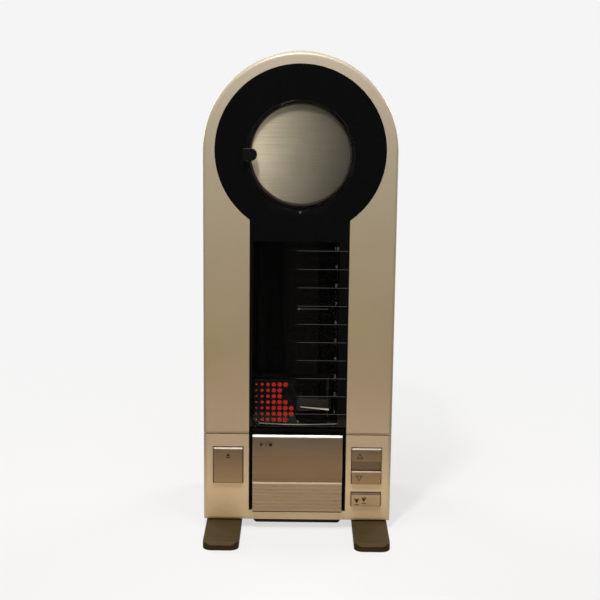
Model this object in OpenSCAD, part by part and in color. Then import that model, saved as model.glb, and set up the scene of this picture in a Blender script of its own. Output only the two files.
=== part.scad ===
// Portable linear-tracking turntable, standing upright on its two swing-out feet.
// X runs to the right as seen from the front, the front faces -Y and Z is up.
// The origin lies on the floor, midway across the box that holds body and feet.
// Depths (the *_d values) are measured back from the front face of the body.

/* [Body] */
// Width of the body, and the diameter of its arched top
body_w = 105; // [102:0.5:112]
// Depth of the body from front face to back face
body_depth = 84; // [82:0.5:95]
// Height of the record spindle above the underside
spindle_h = 206; // [204:0.5:214]
// Height of the arch's centre above the spindle
arch_rise = 2; // [0:0.1:3]
// Thickness of the moulded walls
wall = 2.5; // [2:0.1:2.8]
// Rounding of the front edges
edge_r = 2.2; // [1:0.1:2.4]
// Rounding of the back edges
back_r = 3; // [1:0.1:4]

/* [Lid] */
// Depth of the lid
lid_depth = 30; // [29.8:0.1:32]
// Width of the record slot between lid and deck
slot_gap = 5.5; // [5:0.1:7]
// Drop from the spindle to the seam between lid and control panel
seam_drop = 155.5; // [154:0.1:158]
// Open seam between the lid and the control panel
seam_gap = 0.5; // [0.4:0.05:0.8]
// Thickness of the lid's front wall
lid_front_t = 3.5; // [3:0.1:4]
// Thickness of the lid's inner liner
liner_t = 2; // [1.5:0.1:2.4]
// Rounding of the lid's lower front edge
seam_r = 1.2; // [1.1:0.05:1.4]
// Radius of the hinge knuckles
knuckle_r = 1.8; // [1.6:0.05:1.9]
// Radius of the hinge pin
hinge_pin_r = 0.8; // [0.6:0.05:1]
// Half the length of the lid's own knuckle
lid_knuckle_half = 9; // [6:0.5:14]

/* [Keyhole panel] */
// Width of the painted band round the black ring
ring_band = 6.5; // [5.5:0.1:8]
// Width of the black column
column_w = 54; // [52:0.1:56]
// Thickness of the acrylic panel
panel_t = 2.2; // [1.8:0.1:2.6]
// Width of the ledge that carries the panel
ledge = 1.5; // [1:0.1:2]
// Radius of the hole for the disc hold knob
knob_hole_r = 29.7; // [28.5:0.1:31]

/* [Disc hold] */
// How far the clear cap stands out
lens_rise = 2.5; // [1.5:0.1:3]
// Thickness of the clear cap
lens_t = 3.3; // [3:0.1:4]
// Depth of the brushed disc behind the front face
knob_disc_d = 3.5; // [3.2:0.1:6]
// Thickness of the knob's rim and floor
knob_wall = 1.8; // [1.4:0.1:2]
// Width of the finger tab
tab_w = 6.5; // [4:0.1:9]
// Reach of the finger tab from the knob's axis
tab_r = 31; // [30:0.1:33]
// Travel of the clamp over a quarter turn of the knob
clamp_travel = 2.7; // [1.5:0.1:3]
// Radius of the clamp disc
clamp_r = 22; // [18:0.5:24]
// Radius of the cam pins
cam_pin_r = 1.25; // [1:0.05:1.4]
// Inner radius of the cam sleeve
sleeve_in_r = 9.5; // [9.2:0.1:10]

/* [Platter] */
// Distance from the platter's edge to the side of the body
platter_inset = 7.5; // [6.5:0.1:10]
// Thickness of the platter
platter_t = 4; // [3:0.1:4.6]
// Radius of the spindle pin that centres the record
spindle_r = 3.6; // [3.5:0.05:3.65]
// Radius of the motor shaft
shaft_r = 2.5; // [2:0.1:3]
// How far the mat stands above the deck
mat_rise = 1.5; // [1:0.1:2]

/* [Carriage and arm] */
// Travel of the carriage from its rest to the run-out groove
carriage_travel = 85; // [70:1:86]
// Groove radius where the stylus rests
stylus_rest_r = 140.7; // [140:0.1:142]
// Height of the carriage
carriage_h = 27; // [26:0.1:27.4]
// Radius of the guide rod
rod_r = 2; // [1.5:0.1:2.5]
// Radius of the feed screw
screw_r = 1.8; // [1.5:0.1:2.2]
// Gear module of the feed gears
gear_m = 0.5; // [0.5:0.01:0.52]
// Teeth on the feed screw's gear
gear_teeth = 42; // [36:1:44]
// Teeth on the motor pinion
pinion_teeth = 14; // [14:1:16]
// Length of the feed motor
feed_motor_l = 24; // [18:0.5:28]

/* [Controls] */
// Gap between the start bar and the side of its well
start_side_gap = 0.7; // [0.5:0.05:1]
// Height of the start bar
start_h = 43.8; // [40:0.1:44.2]
// How far the start bar's plain face stands out
start_rise = 1.5; // [1:0.1:2]
// How far the plain face leans back towards the thumb grip
start_lean = 0.6; // [0:0.1:1]
// Step out to the top of the ribbed thumb grip
grip_step = 1; // [0.5:0.1:1.6]
// How far the thumb grip leans out towards its lower edge
grip_lean = 0.9; // [0:0.1:1.4]
// Depth of the grooves in the thumb grip
groove_t = 0.5; // [0.3:0.05:0.8]
// Height of the ribbed thumb grip
grip_h = 16.4; // [10:0.1:18]
// Grooves in the thumb grip
grip_grooves = 7; // [4:1:8]
// Width of the small buttons
key_w = 16.4; // [14:0.1:17]
// Height of the lid release button
release_h = 20.7; // [16:0.1:22]
// Height of each search button
search_h = 7.5; // [6:0.1:7.8]
// Height of the cue button
cue_h = 7.9; // [7:0.1:9.4]
// How far the small buttons stand out
key_rise = 1.4; // [0.8:0.1:1.8]
// Travel of the small buttons
key_travel = 1.2; // [0.8:0.1:1.3]
// Thickness of the control panel
face_t = 3.2; // [2.8:0.1:3.6]

/* [Feet] */
// Thickness of the feet
foot_t = 4.2; // [3.6:0.1:5]
// Width of each foot
foot_w = 19.5; // [16:0.1:20]
// How far the feet reach in front of the body
foot_reach = 35; // [28:0.5:42]
// Distance of each foot's pivot from the side of the body
foot_inset = 11.5; // [11:0.1:12]
// Radius of the pivot pins
foot_pin_r = 2.5; // [2:0.1:3]
// Rounding of the front corners
foot_corner_r = 5; // [2:0.1:8]

/* [Batteries and jacks] */
// Radius of each cell
cell_r = 13; // [12.5:0.05:13.2]
// Length of each cell
cell_l = 49.5; // [48:0.1:50]
// Radius of the audio jack bores
jack_r = 1.8; // [1.6:0.05:2]
// Spacing of the jacks and the power inlet
jack_pitch = 12; // [10.5:0.1:13]
// Height of the pads on the back
pad_h = 2; // [1:0.1:3]

/* [Fits] */
// Clearance between moving faces
gap = 0.3; // [0.25:0.01:0.35]
// Radial clearance of a shaft in its bearing
run_fit = 0.05; // [0.03:0.01:0.08]
// Clearance of pieces that seat in a recess
seat_fit = 0.15; // [0.1:0.01:0.2]

/* [Hidden] */
$fn = 72;
eps = 0.01;

// Heights
under_z = foot_t + gap;
axis_z = under_z + spindle_h;
arch_z = axis_z + arch_rise;
half_w = body_w / 2;
seam_z = axis_z - seam_drop;
lid_low_z = seam_z + seam_gap / 2;
base_top_z = seam_z - seam_gap / 2;
hinge_z = lid_low_z + knuckle_r;
panel_low_z = hinge_z + knuckle_r + gap;

// Depths
front_y = (foot_reach - body_depth - pad_h) / 2;
deck_d = lid_depth + slot_gap;
deck_t = wall;
deck_back_d = deck_d + deck_t;
back_wall_d = body_depth - wall;
liner_d = lid_depth - liner_t;
hinge_d = knuckle_r + 0.1;
column_half = column_w / 2;
web_d = hinge_d + knuckle_r + 2 * gap + 0.9;
ring_r = half_w - ring_band;
platter_r = half_w - platter_inset;

// Screw posts of the two shells
post_r = 3;
post_x = half_w - wall - post_r - 1;
lid_post_z = [axis_z - 145, axis_z - 75];

// Disc hold
knob_r = knob_hole_r - 0.5;
knob_front_d = lens_t - lens_rise;
knob_in_r = knob_r - knob_wall;
knob_floor_d = knob_disc_d + 1;
knob_back_d = knob_floor_d + knob_wall;
lens_bevel = 0.8;
tab_in_r = 23.2;
tab_front_d = -lens_rise - 0.6;
tab_back_d = -0.4;
knob_flange_r = knob_hole_r + 1.7;
knob_flange_t = 1.8;
housing_r = knob_flange_r + 2.6;
housing_floor_d = max(knob_back_d, panel_t + gap + knob_flange_t) + gap;
housing_floor_t = 1.6;
sleeve_out_r = sleeve_in_r + 2.5;
guide_in_r = sleeve_out_r + 0.4;
guide_out_r = guide_in_r + 2.6;
cam_start_d = liner_d - clamp_travel - cam_pin_r - 5;
sleeve_end_d = cam_start_d + clamp_travel + cam_pin_r + 2;
carrier_r = sleeve_in_r - gap;
carrier_front_d = cam_start_d - 4;
stem_r = 6;
clamp_face_d = lid_depth - 1;
clamp_disc_t = 2.6;
clamp_pad_t = 0.8;
carrier_end_d = clamp_face_d - clamp_disc_t - 0.4;
guide_end_d = carrier_end_d;
stem_front_d = carrier_front_d + 2.2;
spindle_bore_r = spindle_r + 1.1;
liner_hole_r = clamp_r + 1;

// Platter and motor
mat_d = deck_d - mat_rise;
platter_d = deck_d + 0.5;
mat_in_r = 20;
spindle_tip_d = lid_depth - 3.2;
hub_r = 8;
hub_end_d = platter_d + platter_t + 5;
yoke_d = platter_d + platter_t + 1;
yoke_t = 2;
magnet_h = 5;
magnet_end_d = yoke_d + yoke_t + magnet_h;
coil_h = 3.2;
coil_d = magnet_end_d + 0.8;
coil_board_t = 1.6;
coil_board_d = coil_d + coil_h;
motor_plate_d = coil_board_d + coil_board_t;
motor_plate_t = 1.5;
motor_plate_r = 39;
motor_post_at = 42;
motor_post_r = 3.5;
motor_ear_r = 4.5;
motor_screw_r = 1.6;
motor_post_angles = [0, 120, 240];
magnet_in_r = 24;
magnet_out_r = 33;
yoke_r = 34;
stator_r = 36;
coil_at = (magnet_in_r + magnet_out_r) / 2;
coil_r = 7;
coil_bore_r = 2.5;
bearing_r = 6;
bearing_flange_r = 11;
bearing_flange_t = 2;
bearing_d = hub_end_d + 0.5;
shaft_end_d = 66;
bearing_end_d = shaft_end_d + 1.6;

// Carriage, rails and arm
stylus_z = axis_z - stylus_rest_r;
carriage_low_z = stylus_z - 11.3;
carriage_top_z = carriage_low_z + carriage_h;
rail_d = 15.2;
frame_half = column_half - ledge - 0.5;
rod_inset = 4;
screw_inset = 2;
rod_x = -frame_half + rod_inset;
screw_x = frame_half - screw_inset;
pinion_x = screw_x + gear_m * (gear_teeth + pinion_teeth) / 2;
feed_motor_r = 7;
bracket_reach = 5;
bracket_t = 2;
bracket_drop = 6;
upper_rail_z = carriage_top_z + carriage_travel + 0.7;
upper_rail_t = 2.5;
lower_rail_z = lid_low_z + wall;
lower_rail_t = 3.2;
gear_z = upper_rail_z + upper_rail_t + 0.3;
gear_t = 3;
frame_d = rail_d - bracket_reach;
frame_back_d = rail_d + bracket_reach;
frame_low_z = lower_rail_z + lower_rail_t + gap;
frame_bar = 3;
frame_left_x = rod_x + 6;
frame_right_x = screw_x - 10;
arm_x = screw_x - 6.4;
arm_d = 10.5;
arm_h = 6;
arm_pin_r = 0.8;
stylus_x = -3;
head_half = 5;
cover_d = lid_front_t + 0.7;
cover_t = 1.8;
slot_left_x = stylus_x - 6;
slot_right_x = stylus_x + 14;
slot_low_z = stylus_z - 7;
slot_top_z = stylus_z + carriage_travel + 7;

// Controls
start_top_z = seam_z - 0.4;
start_low_z = start_top_z - start_h;
grip_top_z = start_low_z + grip_h;
well_floor_d = 6.5;
well_t = 1.2;
start_axis_d = 4.2;
start_axis_z = start_top_z - 4.6;
start_back_d = 2;
shelf_t = 0.75;
lip_t = 0.7;
start_pin_r = 1.2;
start_w = column_w - 2 * (well_t + start_side_gap);
key_shift = 1.05;
key_x = (column_half + half_w) / 2 - key_shift;
key_gap = 0.3;
flange_over = 0.7;
switch_w = 5;
switch_t = 1.6;
plunger_r = 1.4;
flange_d = face_t + gap;
flange_t = 1.3;
stem_end_d = flange_d + flange_t + 2.4;
release_top_z = seam_z - 7.7;
search_top_z = seam_z - 7.5;
divider_h = 5.8;
search_low_z = search_top_z - search_h - divider_h;
cue_top_z = seam_z - 33.4;
board_d = 12;
board_t = 1.6;
board_top_z = release_top_z - 1;
board_post_r = 1.7;
latch_z = board_top_z + 2;
latch_h = 3;
latch_travel = 2;
latch_end_d = 18;
striker_d = latch_end_d + latch_travel + 0.5;
striker_t = 2;
striker_half = 3;
striker_drop = 9;
striker_foot = 7;
striker_foot_t = 1.2;

// Feet
foot_x = half_w - foot_inset;
foot_pivot_d = 14;
foot_skid_gap = 3.75;
skid_front_d = 8.5;
skid_half = foot_x - foot_w / 2 - foot_skid_gap;
skid_slope = 4;
pin_head_r = foot_pin_r + 1.7;
boss_r = foot_pin_r + 3.5;
boss_top_z = under_z + 8;

// Batteries and jacks
cell_pitch = 2 * cell_r + 1;
cell_row_gap = 3;
tray_wall = 1.5;
tray_in_half = 1.5 * cell_pitch;
tray_half = tray_in_half + tray_wall;
tray_in_h = 2 * cell_l + cell_row_gap + 4;
tray_top_z = axis_z - motor_plate_r - 1.5;
tray_low_z = tray_top_z - tray_in_h - 2 * tray_wall;
tray_back_d = back_wall_d - 0.1;
tray_front_d = tray_back_d - 2 * cell_r - tray_wall - 1;
door_half = tray_half - 0.6;
door_low_z = tray_low_z + 0.6;
door_top_z = tray_top_z - 0.6;
main_board_d = deck_back_d + 3;
main_board_half = post_x - post_r - 1;
deck_post_z = [base_top_z + 1.75, tray_top_z + post_r + 1.5];
case_screw_r = 1.1;
case_head_r = 2.2;
case_head_t = 1.6;
case_seat_d = back_wall_d - 1;
plate_half = 22;
plate_h = 16;
plate_t = 0.3;
plate_low_z = under_z + 22;
cap_r = 3.5;
cap_h = 1.6;
contact_half = 7;
contact_t = 0.5;
jack_z = seam_z - 25;
dc_half = 5.4;
dc_collar_r = 5;
dc_bore_r = 2.75;
dc_pin_r = 0.95;
dc_l = 12;
dc_d = back_wall_d - dc_half - 2.1;
jack_d = [dc_d - 2 * jack_pitch, dc_d - jack_pitch];
jack_l = 14;
jack_half = 4.6;
jack_collar_r = 4;
pad_r = 6;
pad_x = half_w - 11;
pad_z = [under_z + 14, axis_z + 10];

function at_depth(d) = front_y + d;

// Box between two corners, given as x, depth and height ranges
module block(x0, x1, d0, d1, z0, z1) {
    translate([x0, at_depth(d0), z0]) cube([x1 - x0, d1 - d0, z1 - z0]);
}

// Round bars along each axis
module rod_across(r, x0, x1, d, z) {
    translate([x0, at_depth(d), z]) rotate([0, 90, 0]) cylinder(r = r, h = x1 - x0);
}

module rod_back(r, d0, d1, x, z) {
    translate([x, at_depth(d0), z]) rotate([-90, 0, 0]) cylinder(r = r, h = d1 - d0);
}

module rod_up(r, z0, z1, x, d) {
    translate([x, at_depth(d), z0]) cylinder(r = r, h = z1 - z0);
}

// Turns a profile of (radius, depth) about the spindle axis
module turned() {
    translate([0, front_y, axis_z]) rotate([-90, 0, 0]) rotate_extrude() children();
}

// Ring about the spindle axis
module ring(r0, r1, d0, d1) {
    turned() translate([r0, d0]) square([r1 - r0, d1 - d0]);
}

// Extrudes an outline drawn in x and z between two depths
module slab(d0, d1) {
    translate([0, at_depth(d1), 0]) rotate([90, 0, 0]) linear_extrude(d1 - d0) children();
}

// Half of the body's cross-section, with rounded front and back corners
module half_section(half, d0, d1, rf, rb) {
    difference() {
        translate([0, d0]) square([half, d1 - d0]);
        if (rf > 0) difference() {
            translate([half - rf, d0 - 1]) square([rf + 1, rf + 1]);
            translate([half - rf, d0 + rf]) circle(rf);
        }
        if (rb > 0) difference() {
            translate([half - rb, d1 - rb]) square([rb + 1, rb + 1]);
            translate([half - rb, d1 - rb]) circle(rb);
        }
    }
}

// Straight-sided body with a round-arched top
module arched(half, z0, d0, d1, rf = 0, rb = 0) {
    translate([0, front_y, z0]) linear_extrude(arch_z - z0) {
        half_section(half, d0, d1, rf, rb);
        mirror([1, 0]) half_section(half, d0, d1, rf, rb);
    }
    translate([0, front_y, arch_z]) rotate([-90, 0, 0]) rotate([0, 0, 180])
        rotate_extrude(angle = 180) half_section(half, d0, d1, rf, rb);
}

// Waste outside a rounded front edge that runs across the body; up is 1 for an edge that faces down
module edge_waste(z, r, up) {
    difference() {
        block(-half_w - 1, half_w + 1, -1, r, up > 0 ? z - 1 : z - r, up > 0 ? z + r : z + 1);
        rod_across(r, -half_w - 2, half_w + 2, r, z + up * r);
    }
}

// Outline of the keyhole: a ring above a column
module keyhole(r, half, low_z) {
    translate([0, arch_z]) circle(r);
    translate([-half, low_z]) square([2 * half, arch_z - low_z]);
}

// Places a piece on both sides of the middle plane
module both_sides() {
    children();
    mirror([1, 0, 0]) children();
}

// Involute tooth thickness, as half an angle at a given radius
function involute(a) = tan(a) * 180 / PI - a;
function tooth_half(r, teeth, slack) =
    let (rp = gear_m * teeth / 2, rb = rp * cos(20))
    90 / teeth - slack / (2 * rp) * 180 / PI + involute(20) - involute(acos(min(1, rb / r)));
function gear_outline(teeth, slack) =
    let (
        rp = gear_m * teeth / 2,
        radii = [rp - 1.2 * gear_m, rp - 0.4 * gear_m, rp, rp + 0.4 * gear_m, rp + 0.8 * gear_m],
        flank = [for (r = radii) [r, tooth_half(r, teeth, slack)]]
    )
    [for (i = [0:teeth - 1])
        for (s = [-1, 1])
            for (k = [0:len(flank) - 1])
                let (p = s < 0 ? flank[k] : flank[len(flank) - 1 - k], a = 360 * i / teeth + s * p[1])
                p[0] * [cos(a), sin(a)]];

// BASE

// Back shell: an arched tub, with the full-depth block of the control section below the seam
module base_shell() {
    inner = half_w - wall;
    color("#b9a58a") difference() {
        union() {
            arched(half_w, under_z, deck_d, body_depth, 0, back_r);
            block(-half_w, half_w, face_t, deck_d + 1, under_z, base_top_z);
        }
        difference() {
            union() {
                arched(inner, under_z + wall, deck_d - 1, back_wall_d, 0, 0);
                block(-inner, inner, face_t - 1, deck_d, under_z + wall, base_top_z - wall);
            }
            block(-half_w, half_w, face_t - 2, deck_d, base_top_z - wall, base_top_z + 5);
            both_sides() {
                rod_up(boss_r, under_z, boss_top_z, foot_x, foot_pivot_d);
                for (z = deck_post_z) rod_back(post_r, deck_back_d, body_depth - 1, post_x, z);
            }
            for (a = motor_post_angles)
                rod_back(motor_post_r, motor_plate_d + motor_plate_t, body_depth - 1,
                         motor_post_at * sin(a), axis_z + motor_post_at * cos(a));
        }
        block(-column_half - gap, column_half + gap, face_t - 1, well_floor_d + well_t + gap,
              base_top_z - wall - 1, base_top_z + 1);
        block(-key_x - 4, -key_x + 4, striker_d - 1.5, striker_d + striker_t + 4,
              base_top_z - wall - 1, base_top_z + 1);
        slab(back_wall_d - 1, body_depth + 1)
            translate([-door_half - seat_fit, door_low_z - seat_fit])
                square([2 * (door_half + seat_fit), door_top_z - door_low_z + 2 * seat_fit]);
        both_sides() rod_up(foot_pin_r, under_z - 1, boss_top_z - 1, foot_x, foot_pivot_d);
        for (d = jack_d) rod_across(jack_collar_r + seat_fit, inner - 1, half_w + 1, d, jack_z);
        rod_across(dc_collar_r + seat_fit, inner - 1, half_w + 1, dc_d, jack_z);
        both_sides() for (z = deck_post_z) {
            rod_back(case_screw_r + seat_fit, deck_back_d - 1, body_depth, post_x, z);
            rod_back(case_head_r + gap, case_seat_d, body_depth + 1, post_x, z);
        }
        block(-plate_half, plate_half, body_depth - plate_t, body_depth + 1, plate_low_z, plate_low_z + plate_h);
    }
}

// Deck behind the record, with the platter's opening and standoffs for the main board
module base_deck() {
    half = half_w - wall - seat_fit;
    color("#3a3834") {
        difference() {
            arched(half, base_top_z - wall, deck_d, deck_back_d);
            rod_back(platter_r + 1, deck_d - 1, deck_back_d + 1, 0, axis_z);
            both_sides() for (z = deck_post_z)
                rod_back(case_screw_r + seat_fit, deck_d + 0.6, deck_back_d + 1, post_x, z);
        }
        both_sides() for (z = [tray_low_z + 12, tray_top_z - 14])
            rod_back(2.5, deck_back_d, main_board_d, main_board_half - 5, z);
    }
}

// Front of the control section, notched for the start bar and pierced for the buttons
module control_panel() {
    color("#c2aa8a") {
        difference() {
            translate([0, front_y, under_z]) linear_extrude(base_top_z - under_z) {
                half_section(half_w, 0, face_t, edge_r, 0);
                mirror([1, 0]) half_section(half_w, 0, face_t, edge_r, 0);
            }
            edge_waste(under_z, edge_r, 1);
            block(-column_half - seat_fit, column_half + seat_fit, -1, face_t + 1,
                  start_low_z - 2 * gap, base_top_z + 1);
            key_opening(-key_x, release_top_z, release_h);
            key_opening(key_x, search_top_z, 2 * search_h + divider_h);
            key_opening(key_x, cue_top_z, cue_h);
        }
        for (x = [key_x - 5, key_x + 5]) {
            rod_back(board_post_r, face_t, board_d, -x, release_top_z - release_h - 4);
            rod_back(board_post_r, face_t, board_d, x, (search_low_z - search_h + cue_top_z) / 2);
        }
    }
}

module key_opening(x, top_z, h) {
    block(x - key_w / 2 - key_gap, x + key_w / 2 + key_gap, -1, face_t + 1,
          top_z - h - key_gap, top_z + key_gap);
}

// Black tray behind the start bar, with the base's two hinge knuckles on its top
module start_well() {
    well_back_d = well_floor_d + well_t;
    top_z = start_top_z + gap;
    color("#141210") difference() {
        union() {
            block(-column_half, column_half, well_floor_d, well_back_d, start_low_z - 1.6, base_top_z);
            block(-column_half, column_half, start_back_d + 0.5, well_back_d, base_top_z - shelf_t, base_top_z);
            both_sides() {
                block(column_half - well_t, column_half, 0.4, well_back_d, start_low_z - gap, base_top_z);
                block(column_half - well_t, column_half, 0.4, web_d - gap, base_top_z - 1, top_z + lip_t);
                block(lid_knuckle_half + gap, column_half, 0.4, web_d - gap, top_z, top_z + lip_t);
                block(lid_knuckle_half + gap, column_half, start_back_d + 0.5, web_d - gap,
                      base_top_z - shelf_t, top_z + lip_t);
                block(lid_knuckle_half + gap, column_half - 1, hinge_d - 1.2, hinge_d + 1.2, top_z, hinge_z);
                rod_across(knuckle_r, lid_knuckle_half + gap, column_half - 1, hinge_d, hinge_z);
            }
            block(-column_half, column_half, face_t + 0.1, well_back_d, start_low_z - 1.6, start_low_z - gap);
            both_sides() rod_back(board_post_r, well_floor_d, board_d, column_half - 5, board_top_z - 5);
        }
        block(-5, 5, well_floor_d - 1, well_back_d + 1, start_low_z + 5, start_low_z + 15);
        rod_across(hinge_pin_r, -column_half, column_half, hinge_d, hinge_z);
        rod_across(start_pin_r, -column_half - 1, column_half + 1, start_axis_d, start_axis_z);
    }
}

// Skid under the middle of the base, with sloping ends
module base_skid() {
    color("#1c1815") slab(skid_front_d, body_depth - skid_front_d)
        polygon([[-skid_half, under_z], [-skid_half + skid_slope, 0],
                 [skid_half - skid_slope, 0], [skid_half, under_z]]);
}

// Fixed strip between the two search buttons
module search_divider() {
    top_z = search_top_z - search_h;
    color("#8d7656") {
        block(key_x - key_w / 2, key_x + key_w / 2, 0.6, flange_d,
              top_z - divider_h + key_gap, top_z - key_gap);
        block(key_x - key_w / 2, key_x + key_w / 2, flange_d, board_d,
              top_z - divider_h / 2 - 1, top_z - divider_h / 2 + 1);
    }
}

// Board that carries the key switches
module control_board() {
    color("#3d5a36") difference() {
        block(-half_w + wall + 4, half_w - wall - 1, board_d, board_d + board_t,
              under_z + wall + 1, board_top_z);
        both_sides() rod_up(boss_r + 1, 0, boss_top_z + 1, foot_x, foot_pivot_d);
    }
}

// Push switches behind the keys
module key_switches() {
    color("#2c2a28") for (p = [[0, start_low_z + 10], [-key_x, release_top_z - release_h / 2 - 3],
                               [key_x, search_top_z - search_h / 2],
                               [key_x, search_low_z - search_h / 2], [key_x, cue_top_z - cue_h / 2]]) {
        block(p[0] - switch_w / 2, p[0] + switch_w / 2, board_d - switch_t, board_d,
              p[1] - switch_w / 2, p[1] + switch_w / 2);
        rod_back(plunger_r, stem_end_d + latch_travel + 0.2, board_d - switch_t, p[0], p[1]);
    }
}

// Amplifier and servo board behind the deck
module main_board() {
    color("#3d5a36") block(-main_board_half, main_board_half, main_board_d, main_board_d + board_t,
                           tray_low_z + 2, tray_top_z - 2);
}

// Open-backed tray for the cells
module battery_tray() {
    color("#1d1c1a") difference() {
        block(-tray_half, tray_half, tray_front_d, tray_back_d, tray_low_z, tray_top_z);
        block(-tray_in_half, tray_in_half, tray_front_d + tray_wall, tray_back_d + 1,
              tray_low_z + tray_wall, tray_top_z - tray_wall);
    }
}

// Two rows of three cells, each with its raised cap
module battery_cells() {
    d = tray_front_d + tray_wall + cell_r;
    color("#5b5f66") for (row = [0, 1]) for (i = [-1:1]) {
        z = tray_low_z + tray_wall + 1.5 + row * (cell_l + cell_row_gap);
        rod_up(cell_r, z, z + cell_l - cap_h, i * cell_pitch, d);
        rod_up(cap_r, z + cell_l - cap_h, z + cell_l, i * cell_pitch, d);
    }
}

// Contact plates at the ends of the tray
module battery_contacts() {
    d = tray_front_d + tray_wall + cell_r;
    low_z = tray_low_z + tray_wall;
    color("#c9c4b8") for (i = [-1:1]) {
        x = i * cell_pitch;
        block(x - contact_half, x + contact_half, d - contact_half, d + contact_half,
              low_z, low_z + contact_t);
        rod_up(cap_r + contact_t, low_z + contact_t, low_z + 1.4, x, d);
        block(x - contact_half, x + contact_half, d - contact_half, d + contact_half,
              low_z + tray_in_h - contact_t, low_z + tray_in_h);
    }
}

// Steel plate that carries the motor
module motor_plate() {
    color("#8c8c8a") difference() {
        union() {
            ring(bearing_r, motor_plate_r, motor_plate_d, motor_plate_d + motor_plate_t);
            for (a = motor_post_angles)
                rod_back(motor_ear_r, motor_plate_d, motor_plate_d + motor_plate_t,
                         motor_post_at * sin(a), axis_z + motor_post_at * cos(a));
        }
        for (a = motor_post_angles)
            rod_back(motor_screw_r, motor_plate_d - 1, motor_plate_d + motor_plate_t + 1,
                     motor_post_at * sin(a), axis_z + motor_post_at * cos(a));
    }
}

// Coil board of the direct-drive motor
module stator_coils() {
    color("#7a4a24") {
        ring(bearing_r + 1, stator_r, coil_board_d, coil_board_d + coil_board_t);
        for (a = [0:60:300]) difference() {
            rod_back(coil_r, coil_d, coil_board_d, coil_at * sin(a), axis_z + coil_at * cos(a));
            rod_back(coil_bore_r, coil_d - 1, coil_board_d, coil_at * sin(a), axis_z + coil_at * cos(a));
        }
    }
}

// Sleeve bearing with its flange and thrust cap
module spindle_bearing() {
    flange_front_d = motor_plate_d + motor_plate_t;
    color("#b08d3f") turned() {
        translate([shaft_r + run_fit, bearing_d])
            square([bearing_r - shaft_r - run_fit, shaft_end_d + 0.1 - bearing_d]);
        translate([shaft_r + run_fit, flange_front_d])
            square([bearing_flange_r - shaft_r - run_fit, bearing_flange_t]);
        translate([0, shaft_end_d + 0.1]) square([bearing_r, bearing_end_d - shaft_end_d]);
    }
}

// Two jacks in the right-hand side wall
module audio_jacks() {
    color("#232323") for (d = jack_d) difference() {
        union() {
            rod_across(jack_collar_r, half_w - wall - 1, half_w, d, jack_z);
            block(half_w - wall - jack_l, half_w - wall, d - jack_half, d + jack_half,
                  jack_z - jack_half, jack_z + jack_half);
        }
        rod_across(jack_r, half_w - jack_l, half_w + 1, d, jack_z);
    }
}

// Power inlet with its centre pin
module dc_inlet() {
    color("#1f1f1f") {
        difference() {
            union() {
                rod_across(dc_collar_r, half_w - wall - 1, half_w, dc_d, jack_z);
                block(half_w - wall - dc_l, half_w - wall, dc_d - dc_half, dc_d + dc_half,
                      jack_z - dc_half, jack_z + dc_half);
            }
            rod_across(dc_bore_r, half_w - dc_l + 2, half_w + 1, dc_d, jack_z);
        }
        rod_across(dc_pin_r, half_w - dc_l + 2, half_w - 1.5, dc_d, jack_z);
    }
}

// Pads that the body rests on when it lies flat
module back_pads() {
    color("#2a2826") both_sides() for (z = pad_z)
        rod_back(pad_r, body_depth, body_depth + pad_h, pad_x, z);
}

// Screws that hold the deck on the back shell's posts, with a cross recess in each head
module case_screws() {
    head_d = case_seat_d + case_head_t;
    color("silver") both_sides() for (z = deck_post_z) difference() {
        union() {
            rod_back(case_screw_r, deck_d + 0.8, case_seat_d + eps, post_x, z);
            rod_back(case_head_r, case_seat_d, head_d, post_x, z);
        }
        block(post_x - 1.3, post_x + 1.3, head_d - 0.7, head_d + 1, z - 0.3, z + 0.3);
        block(post_x - 0.3, post_x + 0.3, head_d - 0.7, head_d + 1, z - 1.3, z + 1.3);
    }
}

module hinge_pin() {
    color("silver") rod_across(hinge_pin_r, -column_half + 1, column_half - 1, hinge_d, hinge_z);
}

module start_pins() {
    color("silver") both_sides()
        rod_across(start_pin_r, start_w / 2 - 4, column_half, start_axis_d, start_axis_z);
}

module foot_pins() {
    color("#77736c") both_sides() {
        rod_up(foot_pin_r, 1.9, boss_top_z - 1, foot_x, foot_pivot_d);
        rod_up(pin_head_r, 0.6, 2, foot_x, foot_pivot_d);
    }
}

// PLATTER

module platter() {
    color("#4b4b4c") turned() {
        translate([shaft_r, platter_d]) square([hub_r - shaft_r, hub_end_d - platter_d]);
        translate([shaft_r, platter_d]) square([platter_r - shaft_r, platter_t]);
    }
}

// Mat with fine rings, standing just above the deck
module platter_mat() {
    color("#1b1b1b") turned() difference() {
        translate([mat_in_r, mat_d]) square([platter_r - 1 - mat_in_r, platter_d - mat_d]);
        for (r = [mat_in_r + 4:5:platter_r - 4]) translate([r, mat_d - 0.5]) square([1, 1]);
    }
}

// Centre pin with a bevelled tip, turned in one piece with the motor shaft
module spindle() {
    color("#d4d4d0") turned() polygon([
        [0, spindle_tip_d], [spindle_r - 1, spindle_tip_d], [spindle_r, spindle_tip_d + 1],
        [spindle_r, platter_d], [shaft_r, platter_d], [shaft_r, shaft_end_d], [0, shaft_end_d]]);
}

// Steel yoke with its ring magnet
module rotor_magnet() {
    color("#2f3033") turned() {
        translate([hub_r, yoke_d]) square([yoke_r - hub_r, yoke_t]);
        translate([magnet_in_r, yoke_d + yoke_t - eps])
            square([magnet_out_r - magnet_in_r, magnet_h + eps]);
    }
}

// LID

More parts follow.
